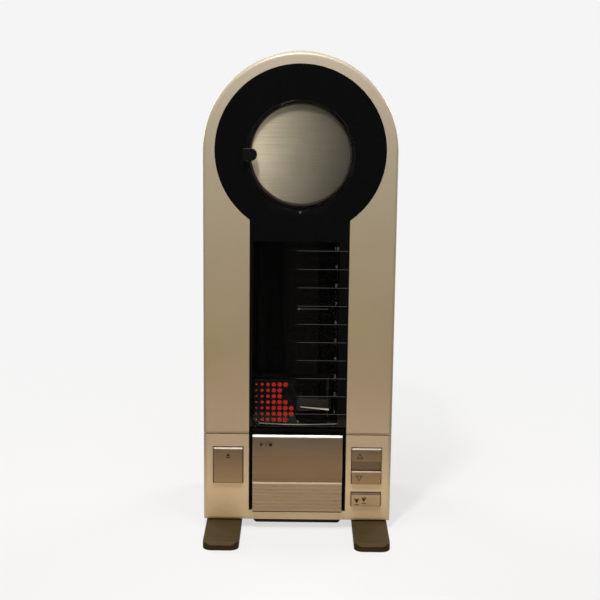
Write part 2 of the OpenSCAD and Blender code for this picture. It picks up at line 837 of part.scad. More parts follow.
// Front shell: arched, with the keyhole cut through its front wall and the column run out at the seam
module lid_cover() {
    inner = half_w - wall;
    color("#b6a68e") {
        difference() {
            arched(half_w, lid_low_z, 0, lid_depth, edge_r, 0);
            difference() {
                arched(inner, lid_low_z + wall, lid_front_t, lid_depth + 1);
                both_sides() for (z = lid_post_z)
                    rod_back(post_r, lid_front_t - 1, liner_d, post_x, z);
            }
            slab(-1, panel_t + 0.1) keyhole(ring_r + seat_fit, column_half + seat_fit, lid_low_z - 1);
            slab(-1, lid_front_t + 1) keyhole(ring_r - ledge, column_half - ledge, lid_low_z + wall);
            block(-column_half - seat_fit, column_half + seat_fit, -1, web_d, lid_low_z - 1, panel_low_z);
            edge_waste(lid_low_z, seam_r, 1);
            block(-key_x - striker_half, -key_x + striker_half, striker_d, striker_d + striker_t,
                  lid_low_z - 1, lid_low_z + wall + 1);
        }
        difference() {
            union() {
                rod_across(knuckle_r, -lid_knuckle_half, lid_knuckle_half, hinge_d, hinge_z);
                block(-lid_knuckle_half, lid_knuckle_half, hinge_d, web_d + 0.5,
                      hinge_z - 0.9, hinge_z + 0.6);
            }
            rod_across(hinge_pin_r + run_fit, -lid_knuckle_half - 1, lid_knuckle_half + 1, hinge_d, hinge_z);
        }
    }
}

// Striker tab of the lid's catch, with the foot that holds it on the lid's floor
module lid_striker() {
    color("#8f8f8c") difference() {
        union() {
            block(-key_x - striker_half, -key_x + striker_half, striker_d, striker_d + striker_t,
                  lid_low_z - striker_drop, lid_low_z + wall + striker_foot_t);
            block(-key_x - striker_half, -key_x + striker_half, striker_d - striker_foot, striker_d,
                  lid_low_z + wall, lid_low_z + wall + striker_foot_t);
        }
        rod_up(1.3, lid_low_z, lid_low_z + 2 * wall, -key_x, striker_d - striker_foot / 2);
    }
}

// Smoked acrylic panel, flush with the lid's face
module keyhole_panel() {
    color("#0b0a0a") difference() {
        slab(0, panel_t) keyhole(ring_r, column_half, panel_low_z);
        rod_back(knob_hole_r, -1, panel_t + 1, 0, axis_z);
    }
}

// Inner wall of the lid, open for the clamp and along the stylus's path
module lid_liner() {
    color("#34322f") difference() {
        arched(half_w - wall - seat_fit, lid_low_z + wall + seat_fit, liner_d, lid_depth);
        rod_back(liner_hole_r, liner_d - 1, lid_depth + 1, 0, axis_z);
        block(slot_left_x, slot_right_x, liner_d - 1, lid_depth + 1, slot_low_z, slot_top_z);
    }
}

// Cup behind the knob, with a slotted tube that keeps the clamp from turning
module clamp_housing() {
    color("#2b2a28") difference() {
        union() {
            ring(knob_flange_r + 0.6, housing_r, knob_flange_t + panel_t + 0.6, liner_d);
            ring(guide_in_r, housing_r, housing_floor_d, housing_floor_d + housing_floor_t);
            ring(guide_in_r, guide_out_r, housing_floor_d, guide_end_d);
        }
        block(-cam_pin_r - 0.15, cam_pin_r + 0.15, cam_start_d - cam_pin_r - 0.15, guide_end_d + 1,
              axis_z - guide_out_r - 1, axis_z + guide_out_r + 1);
    }
}

module guide_rod() {
    color("#cfcfcb") rod_up(rod_r, lower_rail_z + 0.6, upper_rail_z + upper_rail_t, rod_x, rail_d);
}

// Top bracket: holds the rod, the feed screw's journal and the motor
module upper_bracket() {
    color("#8f8f8c") difference() {
        union() {
            block(rod_x - bracket_reach, pinion_x + feed_motor_r, frame_d, liner_d,
                  upper_rail_z, upper_rail_z + upper_rail_t);
            block(rod_x - bracket_reach, pinion_x + feed_motor_r, liner_d - bracket_t, liner_d,
                  upper_rail_z - bracket_drop, upper_rail_z + upper_rail_t);
        }
        rod_up(rod_r, upper_rail_z - 1, upper_rail_z + upper_rail_t + 1, rod_x, rail_d);
        rod_up(screw_r + run_fit, upper_rail_z - 1, upper_rail_z + upper_rail_t + 1, screw_x, rail_d);
        rod_up(2.4, upper_rail_z - 1, upper_rail_z + upper_rail_t + 1, pinion_x, rail_d);
    }
}

// Bottom bracket: seats the rod and the feed screw's lower end
module lower_bracket() {
    color("#8f8f8c") difference() {
        block(rod_x - bracket_reach, screw_x + bracket_reach, rail_d - 4, liner_d,
              lower_rail_z, lower_rail_z + lower_rail_t);
        rod_up(rod_r, lower_rail_z + 0.6, lower_rail_z + lower_rail_t + 1, rod_x, rail_d);
        rod_up(screw_r + run_fit, lower_rail_z + 0.6, lower_rail_z + lower_rail_t + 1, screw_x, rail_d);
    }
}

module feed_motor() {
    color("#a9a9a6") {
        rod_up(feed_motor_r, upper_rail_z - feed_motor_l, upper_rail_z, pinion_x, rail_d);
        rod_up(3, upper_rail_z - feed_motor_l - 2, upper_rail_z - feed_motor_l, pinion_x, rail_d);
    }
}

// FEED DRIVE

module feed_screw() {
    color("#c6c6c2") rod_up(screw_r, lower_rail_z + 0.7, gear_z + gear_t, screw_x, rail_d);
}

module screw_gear() {
    color("#e3dcc8") translate([screw_x, at_depth(rail_d), gear_z]) linear_extrude(gear_t) difference() {
        polygon(gear_outline(gear_teeth, 0.12));
        circle(screw_r);
    }
}

module motor_pinion() {
    color("#b08d3f") {
        translate([pinion_x, at_depth(rail_d), gear_z]) rotate([0, 0, 180 / pinion_teeth])
            linear_extrude(gear_t) polygon(gear_outline(pinion_teeth, 0.12));
        rod_up(1, upper_rail_z + 0.1, gear_z + eps, pinion_x, rail_d);
    }
}

// CARRIAGE

// Frame that rides on the rod at the left and on the feed screw at the right
module carriage_frame() {
    frame_top_z = carriage_top_z - 0.6;
    color("#1a1918") {
        difference() {
            block(-frame_half, frame_half + 1.4, frame_d, frame_back_d, frame_low_z, frame_top_z);
            block(frame_left_x, frame_right_x, frame_d - 1, frame_back_d + 1,
                  frame_low_z + frame_bar, frame_top_z - frame_bar);
            block(frame_right_x - eps, screw_x - 2.6, frame_d - 1, arm_d + 2.6,
                  frame_low_z + frame_bar, frame_top_z - frame_bar);
            rod_up(rod_r + 1.2, frame_low_z - 1, frame_top_z + 1, rod_x, rail_d);
            rod_up(screw_r + 1.2, frame_low_z - 1, frame_top_z + 1, screw_x, rail_d);
            rod_up(arm_pin_r, frame_low_z + 1, frame_top_z - 1, arm_x, arm_d);
        }
    }
}

// Glossy front of the carriage that shows through the window
module carriage_cover() {
    left = -frame_half + 0.3;
    color("#0d0c0c") {
        block(left, -0.8, cover_d, cover_d + cover_t, carriage_low_z, carriage_top_z);
        block(left, -frame_half + 9, cover_d + cover_t, frame_d, frame_low_z, carriage_top_z - 0.6);
    }
}

module arm_pivot_pin() {
    color("silver") rod_up(arm_pin_r, frame_low_z + 1, carriage_top_z - 1.6, arm_x, arm_d);
}

// Nut that the feed screw drives
module feed_nut() {
    color("#e3dcc8") difference() {
        rod_up(screw_r + 1.2, frame_low_z, carriage_top_z - 0.6, screw_x, rail_d);
        rod_up(screw_r + run_fit, frame_low_z - 1, carriage_top_z, screw_x, rail_d);
    }
}

// Two bushes that slide on the guide rod
module rod_bushes() {
    color("#b08d3f") for (z = [frame_low_z, carriage_top_z - 0.6 - 7]) difference() {
        rod_up(rod_r + 1.2, z, z + 7, rod_x, rail_d);
        rod_up(rod_r + run_fit, z - 1, z + 8, rod_x, rail_d);
    }
}

// TONE ARM

// Tapered beam from its pivot to the head over the groove
module tonearm() {
    neck_z = arm_h / 2;
    head_z = neck_z + 0.8;
    color("#8e8a83") difference() {
        union() {
            rod_up(1.9, stylus_z - neck_z, stylus_z + neck_z, arm_x, arm_d);
            slab(arm_d - 1.6, arm_d + 1.6) polygon([
                [arm_x, stylus_z - neck_z], [arm_x, stylus_z + neck_z],
                [stylus_x + head_half, stylus_z + head_z], [stylus_x - head_half, stylus_z + head_z],
                [stylus_x - head_half, stylus_z - head_z], [stylus_x + head_half, stylus_z - head_z]]);
        }
        rod_up(arm_pin_r + run_fit, stylus_z - arm_h, stylus_z + arm_h, arm_x, arm_d);
    }
}

// Pickup under the arm's head
module cartridge() {
    color("#202022") {
        block(stylus_x - head_half, stylus_x + head_half, arm_d + 1.6, arm_d + 11,
              stylus_z - 3.6, stylus_z + 3.6);
        block(stylus_x - 4, stylus_x + 3.5, arm_d + 11, arm_d + 14.4, stylus_z - 2.8, stylus_z + 2.8);
    }
}

// Replaceable stylus: holder and tip
module stylus() {
    top_d = arm_d + 14.4;
    color("#b7402e") {
        block(stylus_x - 4, stylus_x + 2.5, top_d, top_d + 1.4, stylus_z - 2.4, stylus_z + 2.4);
        rod_back(0.4, top_d + 1.2, lid_depth - 0.3, stylus_x, stylus_z);
    }
}

// DISC HOLD

// Black cup with a cam sleeve on its back; its finger tab points to nine o'clock while the disc is free
module knob_body() {
    color("#12110f") {
        difference() {
            turned() {
                translate([knob_in_r, knob_front_d]) square([knob_wall, knob_back_d - knob_front_d]);
                translate([0, knob_floor_d]) square([knob_r, knob_back_d - knob_floor_d]);
                translate([knob_in_r, panel_t + gap]) square([knob_flange_r - knob_in_r, knob_flange_t]);
                translate([sleeve_in_r, knob_floor_d])
                    square([sleeve_out_r - sleeve_in_r, sleeve_end_d - knob_floor_d]);
            }
            for (side = [0, 180]) for (t = [0:1 / 12:1])
                translate([0, at_depth(cam_start_d + clamp_travel * t), axis_z])
                    rotate([0, side + 90 * t, 0]) translate([0, 0, sleeve_in_r - 1])
                        cylinder(r = cam_pin_r + 0.6, h = sleeve_out_r - sleeve_in_r + 2);
        }
        intersection() {
            union() {
                rod_back(tab_r, tab_front_d, tab_back_d, 0, axis_z);
                ring(knob_in_r, knob_r, tab_back_d - eps, knob_front_d + eps);
            }
            tab_slot(tab_front_d - 1, knob_front_d + 1, 0);
        }
    }
}

// Round-ended strip that the finger tab fills, reaching in from the knob's left edge
module tab_slot(d0, d1, room) {
    half = tab_w / 2 + room;
    end_x = -tab_in_r - tab_w / 2;
    block(-tab_r - 1, end_x, d0, d1, axis_z - half, axis_z + half);
    rod_back(half, d0, d1, end_x, axis_z);
}

// Brushed aluminium disc on the cup's floor
module knob_disc() {
    color("#b9b3a4") rod_back(knob_in_r - 0.2, knob_disc_d, knob_floor_d, 0, axis_z);
}

// Clear cap on the cup's rim, bevelled at its edge and notched for the finger tab
module knob_lens() {
    color([0.8, 0.8, 0.78, 0.25]) difference() {
        turned() polygon([[0, -lens_rise], [knob_r - lens_bevel, -lens_rise],
                          [knob_r, -lens_rise + lens_bevel], [knob_r, knob_front_d], [0, knob_front_d]]);
        tab_slot(-lens_rise - 1, knob_front_d + 1, seat_fit);
    }
}

// Plunger inside the cam sleeve, with its two cam pins
module clamp_carrier() {
    color("#d9d2c2") {
        turned() difference() {
            translate([0, carrier_front_d]) square([carrier_r, carrier_end_d - carrier_front_d]);
            translate([-1, stem_front_d - 0.4]) square([stem_r + run_fit + 1, 40]);
        }
        for (s = [1, -1])
            translate([0, at_depth(cam_start_d), axis_z]) rotate([s > 0 ? 0 : 180, 0, 0])
                translate([0, 0, carrier_r - 1.2])
                    cylinder(r = cam_pin_r, h = guide_out_r - 0.5 - carrier_r + 1.2);
    }
}

// Disc that turns with the record, with a hollow stem that clears the spindle
module clamp_disc() {
    color("#3b3a38") turned() {
        translate([spindle_bore_r, stem_front_d])
            square([stem_r - spindle_bore_r, clamp_face_d - stem_front_d]);
        translate([spindle_bore_r, clamp_face_d - clamp_disc_t])
            square([clamp_r - spindle_bore_r, clamp_disc_t]);
    }
}

module clamp_pad() {
    color("#1b1b1b") ring(clamp_r - 8, clamp_r, clamp_face_d, clamp_face_d + clamp_pad_t);
}

// CONTROLS

// Large start bar: a plain plate above a ribbed thumb grip, hung on two pins behind its top edge
module start_bar() {
    half = start_w / 2;
    back_d = start_back_d;
    bevel = 1.4;
    groove_half = 0.45;
    pitch = grip_h / (grip_grooves + 1);
    step_d = -start_rise + start_lean;
    grip_top_d = step_d - grip_step;
    grip_low_d = grip_top_d - grip_lean;
    color("#93795a") {
        difference() {
            slab_side(half) polygon([
                [back_d, start_low_z], [grip_low_d, start_low_z], [grip_top_d, grip_top_z - 0.6],
                [grip_top_d + 0.6, grip_top_z], [step_d, grip_top_z], [-start_rise, start_top_z - bevel],
                [-start_rise + bevel, start_top_z], [back_d, start_top_z]]);
            for (i = [1:grip_grooves]) {
                z = start_low_z + i * pitch;
                face_d = grip_low_d + grip_lean * i / (grip_grooves + 1);
                block(-half - 1, half + 1, face_d - 2, face_d + groove_t, z - groove_half, z + groove_half);
            }
        }
        both_sides() difference() {
            union() {
                rod_across(2.2, half - 4, half, start_axis_d, start_axis_z);
                block(half - 4, half, back_d - 0.5, start_axis_d, start_axis_z - 2.2, start_axis_z + 2.2);
            }
            rod_across(start_pin_r + run_fit, half - 5, half + 1, start_axis_d, start_axis_z);
        }
        block(-3, 3, back_d - 0.5, 7, start_low_z + 8, start_low_z + 12);
    }
}

// Extrudes an outline drawn in depth and z across the body
module slab_side(half) {
    translate([-half, 0, 0]) rotate([90, 0, 90]) linear_extrude(2 * half)
        translate([front_y, 0]) children();
}

// Button cap with its bevelled top edge, flange and stem
module key_cap(x, top_z, h, rise) {
    bevel = 0.9;
    translate([x, 0, 0]) slab_side(key_w / 2) polygon([
        [flange_d, top_z - h], [-rise, top_z - h], [-rise, top_z - bevel],
        [-rise + bevel, top_z], [flange_d, top_z]]);
    block(x - key_w / 2 - (x > 0 ? flange_over : 0), x + key_w / 2 + (x > 0 ? 0 : flange_over),
          flange_d, flange_d + flange_t, top_z - h, top_z);
}

// Lid release, with the latch arm that reaches over the board
module release_button() {
    color("#93795a") {
        key_cap(-key_x, release_top_z, release_h, key_rise);
        block(-key_x - 2, -key_x + 2, flange_d + flange_t, stem_end_d,
              release_top_z - release_h / 2 - 5, release_top_z - release_h / 2 - 1);
        block(-key_x - 4, -key_x + 4, flange_d, flange_d + 3, release_top_z - 8, latch_z + latch_h);
        block(-key_x - 4, -key_x + 4, flange_d + 3, latch_end_d, latch_z, latch_z + latch_h);
    }
}

module push_key(top_z, h) {
    color("#9b8262") {
        key_cap(key_x, top_z, h, key_rise);
        rod_back(2, flange_d + flange_t, stem_end_d, key_x, top_z - h / 2);
    }
}

module search_up_button() push_key(search_top_z, search_h);
module search_down_button() push_key(search_low_z, search_h);
module cue_button() push_key(cue_top_z, cue_h);

// FEET

// Flat tongue that swings out from under the base, with a bevelled tip
module foot_plate() {
    half = foot_w / 2;
    r = foot_corner_r;
    tip_d = -foot_reach;
    bevel = 1.6;
    difference() {
        union() {
            rod_up(half, 0, foot_t, foot_x, foot_pivot_d);
            block(foot_x - half, foot_x + half, tip_d + r, foot_pivot_d, 0, foot_t);
            block(foot_x - half + r, foot_x + half - r, tip_d, tip_d + r + 1, 0, foot_t);
            for (s = [-1, 1]) rod_up(r, 0, foot_t, foot_x + s * (half - r), tip_d + r);
        }
        rod_up(foot_pin_r + run_fit, -1, foot_t + 1, foot_x, foot_pivot_d);
        rod_up(pin_head_r + gap, -1, 2 + gap, foot_x, foot_pivot_d);
        translate([foot_x - half - 1, at_depth(tip_d) - 0.5, foot_t - bevel]) rotate([35, 0, 0])
            cube([foot_w + 2, 6, 4]);
    }
}

module right_foot() color("#57482f") foot_plate();
module left_foot() color("#57482f") mirror([1, 0, 0]) foot_plate();

// Battery door, flush with the back
module battery_door() {
    color("#b9a58a") {
        difference() {
            slab(back_wall_d + 0.2, body_depth)
                translate([-door_half, door_low_z]) square([2 * door_half, door_top_z - door_low_z]);
            for (i = [0:4]) block(-14, 14, body_depth - 0.8, body_depth + 1,
                                  door_top_z - 8 - 3 * i, door_top_z - 6.8 - 3 * i);
        }
    }
}

base_shell();
base_deck();
control_panel();
start_well();
base_skid();
search_divider();
control_board();
key_switches();
main_board();
battery_tray();
battery_cells();
battery_contacts();
motor_plate();
stator_coils();
spindle_bearing();
audio_jacks();
dc_inlet();
back_pads();
case_screws();
hinge_pin();
start_pins();
foot_pins();
platter();
platter_mat();
spindle();
rotor_magnet();
lid_cover();
lid_striker();
keyhole_panel();
lid_liner();
clamp_housing();
guide_rod();
upper_bracket();
lower_bracket();
feed_motor();
feed_screw();
screw_gear();
motor_pinion();
carriage_frame();
carriage_cover();
arm_pivot_pin();
feed_nut();
rod_bushes();
tonearm();
cartridge();
stylus();
knob_body();
knob_disc();
knob_lens();
clamp_carrier();
clamp_disc();
clamp_pad();
start_bar();
release_button();
search_up_button();
search_down_button();
cue_button();
left_foot();
right_foot();
battery_door();
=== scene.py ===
import math

import bmesh
import bpy
from mathutils import Matrix, Vector


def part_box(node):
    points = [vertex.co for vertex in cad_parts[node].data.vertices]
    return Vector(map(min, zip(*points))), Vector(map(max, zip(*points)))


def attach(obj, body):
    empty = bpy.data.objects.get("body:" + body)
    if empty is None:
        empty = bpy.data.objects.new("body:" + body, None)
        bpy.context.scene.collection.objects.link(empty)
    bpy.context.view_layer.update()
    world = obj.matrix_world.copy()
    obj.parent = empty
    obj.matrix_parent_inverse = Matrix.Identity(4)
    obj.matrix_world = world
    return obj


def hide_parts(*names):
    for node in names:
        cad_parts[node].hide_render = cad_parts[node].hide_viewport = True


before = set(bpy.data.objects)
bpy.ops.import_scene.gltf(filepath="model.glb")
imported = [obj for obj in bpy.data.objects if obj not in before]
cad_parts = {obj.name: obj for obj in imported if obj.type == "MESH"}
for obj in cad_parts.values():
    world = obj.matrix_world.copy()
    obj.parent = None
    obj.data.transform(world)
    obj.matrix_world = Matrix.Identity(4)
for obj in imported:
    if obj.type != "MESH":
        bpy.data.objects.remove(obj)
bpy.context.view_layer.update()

# Studio. The player stands on a pale floor in an even, pale room, seen from the front and a little
# above. A small box hangs high in front, a wide one stands at the right, strips hang over the top, a
# warm card lies low in front, and two large boxes light the back.
PALE = 0.913
ROOM = 0.15
DAYLIGHT = (1.0, 0.97, 0.93)
scene = bpy.context.scene
scene.view_settings.view_transform = "Standard"


def worked_out(tree, operation, first, second):
    """One number made of two, each of them a socket or a constant."""
    node = tree.nodes.new("ShaderNodeMath")
    node.operation = operation
    for socket, given in zip(node.inputs, (first, second)):
        if isinstance(given, float):
            socket.default_value = given
        else:
            tree.links.new(given, socket)
    return node.outputs[0]


def ranged(tree, value, source, target=(0.0, 1.0)):
    """A value carried from one range to another, and held at its ends."""
    node = tree.nodes.new("ShaderNodeMapRange")
    node.inputs["From Min"].default_value = source[0]
    node.inputs["From Max"].default_value = source[1]
    node.inputs["To Min"].default_value = target[0]
    node.inputs["To Max"].default_value = target[1]
    tree.links.new(value, node.inputs["Value"])
    return node.outputs["Result"]


def show_pale_to(tree, lighting, backdrop, share):
    """Camera, mirror and glass rays see the backdrop, and light scattered off the object the lighting."""
    path = tree.nodes.new("ShaderNodeLightPath")
    seen = path.outputs["Is Camera Ray"]
    for ray in ("Is Glossy Ray", "Is Transmission Ray"):
        seen = worked_out(tree, "MAXIMUM", seen, path.outputs[ray])
    unscattered = worked_out(tree, "LESS_THAN", path.outputs["Diffuse Depth"], 0.5)
    seen = worked_out(tree, "MULTIPLY", seen, unscattered)
    if share is not None:
        seen = worked_out(tree, "MULTIPLY", seen, share)
    mix = tree.nodes.new("ShaderNodeMixShader")
    tree.links.new(seen, mix.inputs[0])
    tree.links.new(lighting, mix.inputs[1])
    tree.links.new(backdrop, mix.inputs[2])
    return mix.outputs[0]


room = bpy.data.worlds.new("pale_room")
room.use_nodes = True
room_tree = room.node_tree
room_tree.nodes.clear()
room_light = room_tree.nodes.new("ShaderNodeBackground")
room_light.inputs["Color"].default_value = (*DAYLIGHT, 1.0)
room_light.inputs["Strength"].default_value = ROOM
room_wall = room_tree.nodes.new("ShaderNodeBackground")
room_wall.inputs["Color"].default_value = (PALE, PALE, PALE, 1.0)
room_out = room_tree.nodes.new("ShaderNodeOutputWorld")
room_seen = show_pale_to(room_tree, room_light.outputs[0], room_wall.outputs[0], None)
room_tree.links.new(room_seen, room_out.inputs["Surface"])
scene.world = room

FLOOR_RADIUS = 4.0
FLOOR_TONE = 0.80
FADE_FROM, FADE_TO = 0.12, 0.45
GLOW_NEAR, GLOW_FAR = 0.70, 1.0
floor_mesh = bpy.data.meshes.new("floor")
bm = bmesh.new()
bmesh.ops.create_circle(bm, cap_ends=True, segments=96, radius=FLOOR_RADIUS)
bm.to_mesh(floor_mesh)
bm.free()
floor = bpy.data.objects.new("floor", floor_mesh)
scene.collection.objects.link(floor)
floor_paint = bpy.data.materials.new("pale_floor")
floor_paint.use_nodes = True
floor_tree = floor_paint.node_tree
floor_tree.nodes.clear()
floor_matt = floor_tree.nodes.new("ShaderNodeBsdfDiffuse")
floor_matt.inputs["Color"].default_value = (FLOOR_TONE, FLOOR_TONE, FLOOR_TONE, 1.0)
floor_glow = floor_tree.nodes.new("ShaderNodeEmission")
floor_glow.inputs["Color"].default_value = (PALE, PALE, PALE, 1.0)
floor_place = floor_tree.nodes.new("ShaderNodeTexCoord")
floor_reach = floor_tree.nodes.new("ShaderNodeVectorMath")
floor_reach.operation = "LENGTH"
floor_tree.links.new(floor_place.outputs["Object"], floor_reach.inputs[0])
floor_fade = ranged(floor_tree, floor_reach.outputs["Value"], (FADE_FROM, FADE_TO), (GLOW_NEAR, GLOW_FAR))
floor_out = floor_tree.nodes.new("ShaderNodeOutputMaterial")
floor_seen = show_pale_to(floor_tree, floor_matt.outputs[0], floor_glow.outputs[0], floor_fade)
floor_tree.links.new(floor_seen, floor_out.inputs["Surface"])
floor_mesh.materials.append(floor_paint)


def soft_box(name, place, aim, size, power, tint):
    lamp = bpy.data.lights.new(name, "AREA")
    lamp.shape = "RECTANGLE"
    lamp.size, lamp.size_y = size
    lamp.energy = power
    lamp.color = tint
    holder = bpy.data.objects.new(name, lamp)
    holder.location = place
    holder.rotation_euler = (Vector(aim) - Vector(place)).to_track_quat("-Z", "Y").to_euler()
    holder.visible_camera = False
    scene.collection.objects.link(holder)
    return holder


FILL_TINT = (1.0, 0.93, 0.85)
ARCH_TINT = (1.0, 0.98, 0.97)
CARD_TINT = (1.0, 0.86, 0.68)
BACK_TINT = (1.0, 0.97, 0.94)
soft_box("key_box", (-0.06, -0.27, 0.60), (0.0, 0.0, 0.17), (0.045, 0.035), 2.25, DAYLIGHT)
fill_box = soft_box("fill_box", (0.75, -0.60, 0.35), (0.0, 0.0, 0.12), (0.4, 0.6), 0.7, FILL_TINT)
soft_box("top_strip", (-0.05, -0.16, 0.80), (0.0, 0.0, 0.2), (0.5, 0.2), 1.2, DAYLIGHT)
soft_box("arch_strip", (0.0, -0.13, 0.43), (0.0, -0.03, 0.26), (0.30, 0.04), 0.32, ARCH_TINT)
low_card = soft_box("low_card", (0.0, -0.17, 0.012), (0.0, -0.02, 0.02), (0.30, 0.02), 0.10, CARD_TINT)
for name, side in (("back_left_box", -1.0), ("back_right_box", 1.0)):
    soft_box(name, (side * 0.65, 0.62, 0.45), (0.0, 0.02, 0.14), (0.5, 0.5), 5.0, BACK_TINT)
# Flags keep the card off the floor, and the card and the wide box off the knob's disc.
flagged_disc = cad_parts["knob_disc"]
for lamp, shaded in ((low_card, (floor, flagged_disc)), (fill_box, (flagged_disc,))):
    flag = bpy.data.collections.new(lamp.name + "_flag")
    for index, thing in enumerate(shaded):
        flag.objects.link(thing)
        flag.collection_objects[index].light_linking.link_state = "EXCLUDE"
    lamp.light_linking.receiver_collection = flag

CAMERA_PLACE = (0.0005, -0.7229, 0.2676)
LENS_MM = 78.0
SENSOR_MM = 36.0
pitch = math.radians(11.05)
roll = math.radians(0.638)
camera_data = bpy.data.cameras.new("photo_camera")
camera_data.lens = LENS_MM
camera_data.sensor_width = SENSOR_MM
camera_data.clip_start = 0.01
camera = bpy.data.objects.new("photo_camera", camera_data)
ahead = Vector((0.0, math.cos(pitch), -math.sin(pitch)))
level = Vector((1.0, 0.0, 0.0))
above = Vector((0.0, math.sin(pitch), math.cos(pitch)))
right = level * math.cos(roll) + above * math.sin(roll)
up = above * math.cos(roll) - level * math.sin(roll)
facing = Matrix((right, up, -ahead)).transposed().to_4x4()
camera.matrix_world = Matrix.Translation(CAMERA_PLACE) @ facing
scene.collection.objects.link(camera)
scene.camera = camera

# Back shell and battery door. Both are moulded plastic, sprayed with the same satin champagne paint,
# which is paler where an edge is rubbed; painted bounce light makes it warmer towards the foot, and a
# painted sheen makes it paler towards the top. The door is held by its tabs and a snap, the shell by
# four steel screws sunk in its back.
MM = 0.001
WELD = 1e-6
FLAT = math.radians(0.5)
SHARP = math.radians(32)
CREASE = math.radians(50)
TONE_SPAN = (0.7, 1.3)
GLOSS_SPAN = (0.35, 0.65)
SHELL_EDGE = 0.3


def toned(tree, share, under, tone):
    """A colour turned towards a tone by a share."""
    node = tree.nodes.new("ShaderNodeMix")
    node.data_type = "RGBA"
    node.inputs[7].default_value = (*tone, 1.0)
    tree.links.new(share, node.inputs[0])
    tree.links.new(under, node.inputs[6])
    return node.outputs[2]


def patchy(tree, along, size_mm, detail):
    """A noise whose patches are about so many millimetres across."""
    node = tree.nodes.new("ShaderNodeTexNoise")
    node.inputs["Scale"].default_value = 1.0 / (size_mm * MM)
    node.inputs["Detail"].default_value = detail
    tree.links.new(along, node.inputs["Vector"])
    return node.outputs["Fac"]


def surface(name, dark, light, rough, metallic=0.0, grain_mm=0.4, stretch=(1, 1, 1),
            relief_um=6.0, blotch_mm=30.0, specular=0.5, edge_wear_and_shade=None):
    """Two tones over a fine grain with a low relief, a gloss that varies in patches, and a
    third tone on the eased edges: rubbed wear on most finishes, painted shade on the keys."""
    made = bpy.data.materials.new(name)
    made.use_nodes = True
    tree = made.node_tree
    shader = tree.nodes["Principled BSDF"]
    shader.inputs["Metallic"].default_value = metallic
    shader.inputs["Specular IOR Level"].default_value = specular
    place = tree.nodes.new("ShaderNodeTexCoord")
    place.name = "place"
    along = tree.nodes.new("ShaderNodeMapping")
    along.inputs["Scale"].default_value = stretch
    tree.links.new(place.outputs["Object"], along.inputs["Vector"])
    grain = patchy(tree, along.outputs["Vector"], grain_mm, 3.0)
    blotch = patchy(tree, place.outputs["Object"], blotch_mm, 4.0)
    tone = tree.nodes.new("ShaderNodeMix")
    tone.name = "tone"
    tone.data_type = "RGBA"
    tone.inputs[6].default_value = (*dark, 1.0)
    tone.inputs[7].default_value = (*light, 1.0)
    tree.links.new(ranged(tree, worked_out(tree, "ADD", grain, blotch), TONE_SPAN), tone.inputs[0])
    colour = tone.outputs[2]
    if edge_wear_and_shade:
        edge = tree.nodes.new("ShaderNodeAttribute")
        edge.attribute_name = "edge_wear_and_shade"
        edge_wear_and_shade_share = worked_out(tree, "MULTIPLY", edge.outputs["Fac"], grain)
        colour = toned(tree, edge_wear_and_shade_share, colour, edge_wear_and_shade)
    tree.links.new(colour, shader.inputs["Base Color"])
    tree.links.new(ranged(tree, blotch, GLOSS_SPAN, rough), shader.inputs["Roughness"])
    bump = tree.nodes.new("ShaderNodeBump")
    bump.inputs["Strength"].default_value = 1.0
    bump.inputs["Distance"].default_value = relief_um * 1e-6
    tree.links.new(grain, bump.inputs["Height"])
    tree.links.new(bump.outputs["Normal"], shader.inputs["Normal"])
    return made


def fade_up(material, low, high, tone):
    """The finish turns evenly into another tone between two heights; each use paints light or shade that
    changes with height.
    """
    tree = material.node_tree
    base = tree.nodes["Principled BSDF"].inputs["Base Color"]
    axes = tree.nodes.new("ShaderNodeSeparateXYZ")
    tree.links.new(tree.nodes["place"].outputs["Object"], axes.inputs[0])
    height = ranged(tree, axes.outputs["Z"], (low, high))
    tree.links.new(toned(tree, height, base.links[0].from_socket, tone), base)


def dress(material, *nodes):
    for node in nodes:
        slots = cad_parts[node].data.materials
        slots.clear()
        slots.append(material)


def finished(name, bm, body, material):
    """The mesh as a piece that moves with its body, in its own finish."""
    mesh = bpy.data.meshes.new(name)
    bm.to_mesh(mesh)
    bm.free()
    mesh.materials.append(material)
    piece = bpy.data.objects.new(name, mesh)
    scene.collection.objects.link(piece)
    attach(piece, body)
    return piece


def merged_copy(node):
    """The solid's own mesh, with its triangles joined into whole faces."""
    bm = bmesh.new()
    bm.from_mesh(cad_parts[node].data)
    bmesh.ops.remove_doubles(bm, verts=bm.verts, dist=WELD)
    bmesh.ops.dissolve_limit(bm, angle_limit=FLAT, verts=bm.verts, edges=bm.edges)
    return bm


def break_edges(bm, ease_mm, segments):
    edge_wear_and_shade = bm.faces.layers.float.new("edge_wear_and_shade")
    sharp = [e for e in bm.edges if len(e.link_faces) == 2 and e.calc_face_angle(0.0) > SHARP]
    eased_edges = bmesh.ops.bevel(bm, geom=sharp, offset=ease_mm * MM, offset_type="OFFSET",
                                  segments=segments, profile=0.5, affect="EDGES",
                                  clamp_overlap=True, material=-1)
    for face in eased_edges["faces"]:
        face[edge_wear_and_shade] = 1.0
    for face in bm.faces:
        face.smooth = True


def eased(node, body, material, ease_mm, segments=2):
    """The solid with its sharp edges broken, as a mould or a file leaves them."""
    bm = merged_copy(node)
    break_edges(bm, ease_mm, segments)
    piece = finished(node + "_eased", bm, body, material)
    piece.data.set_sharp_from_angle(angle=CREASE)
    flat = piece.modifiers.new("flat_faces", "WEIGHTED_NORMAL")
    flat.keep_sharp = True
    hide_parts(node)
    return piece


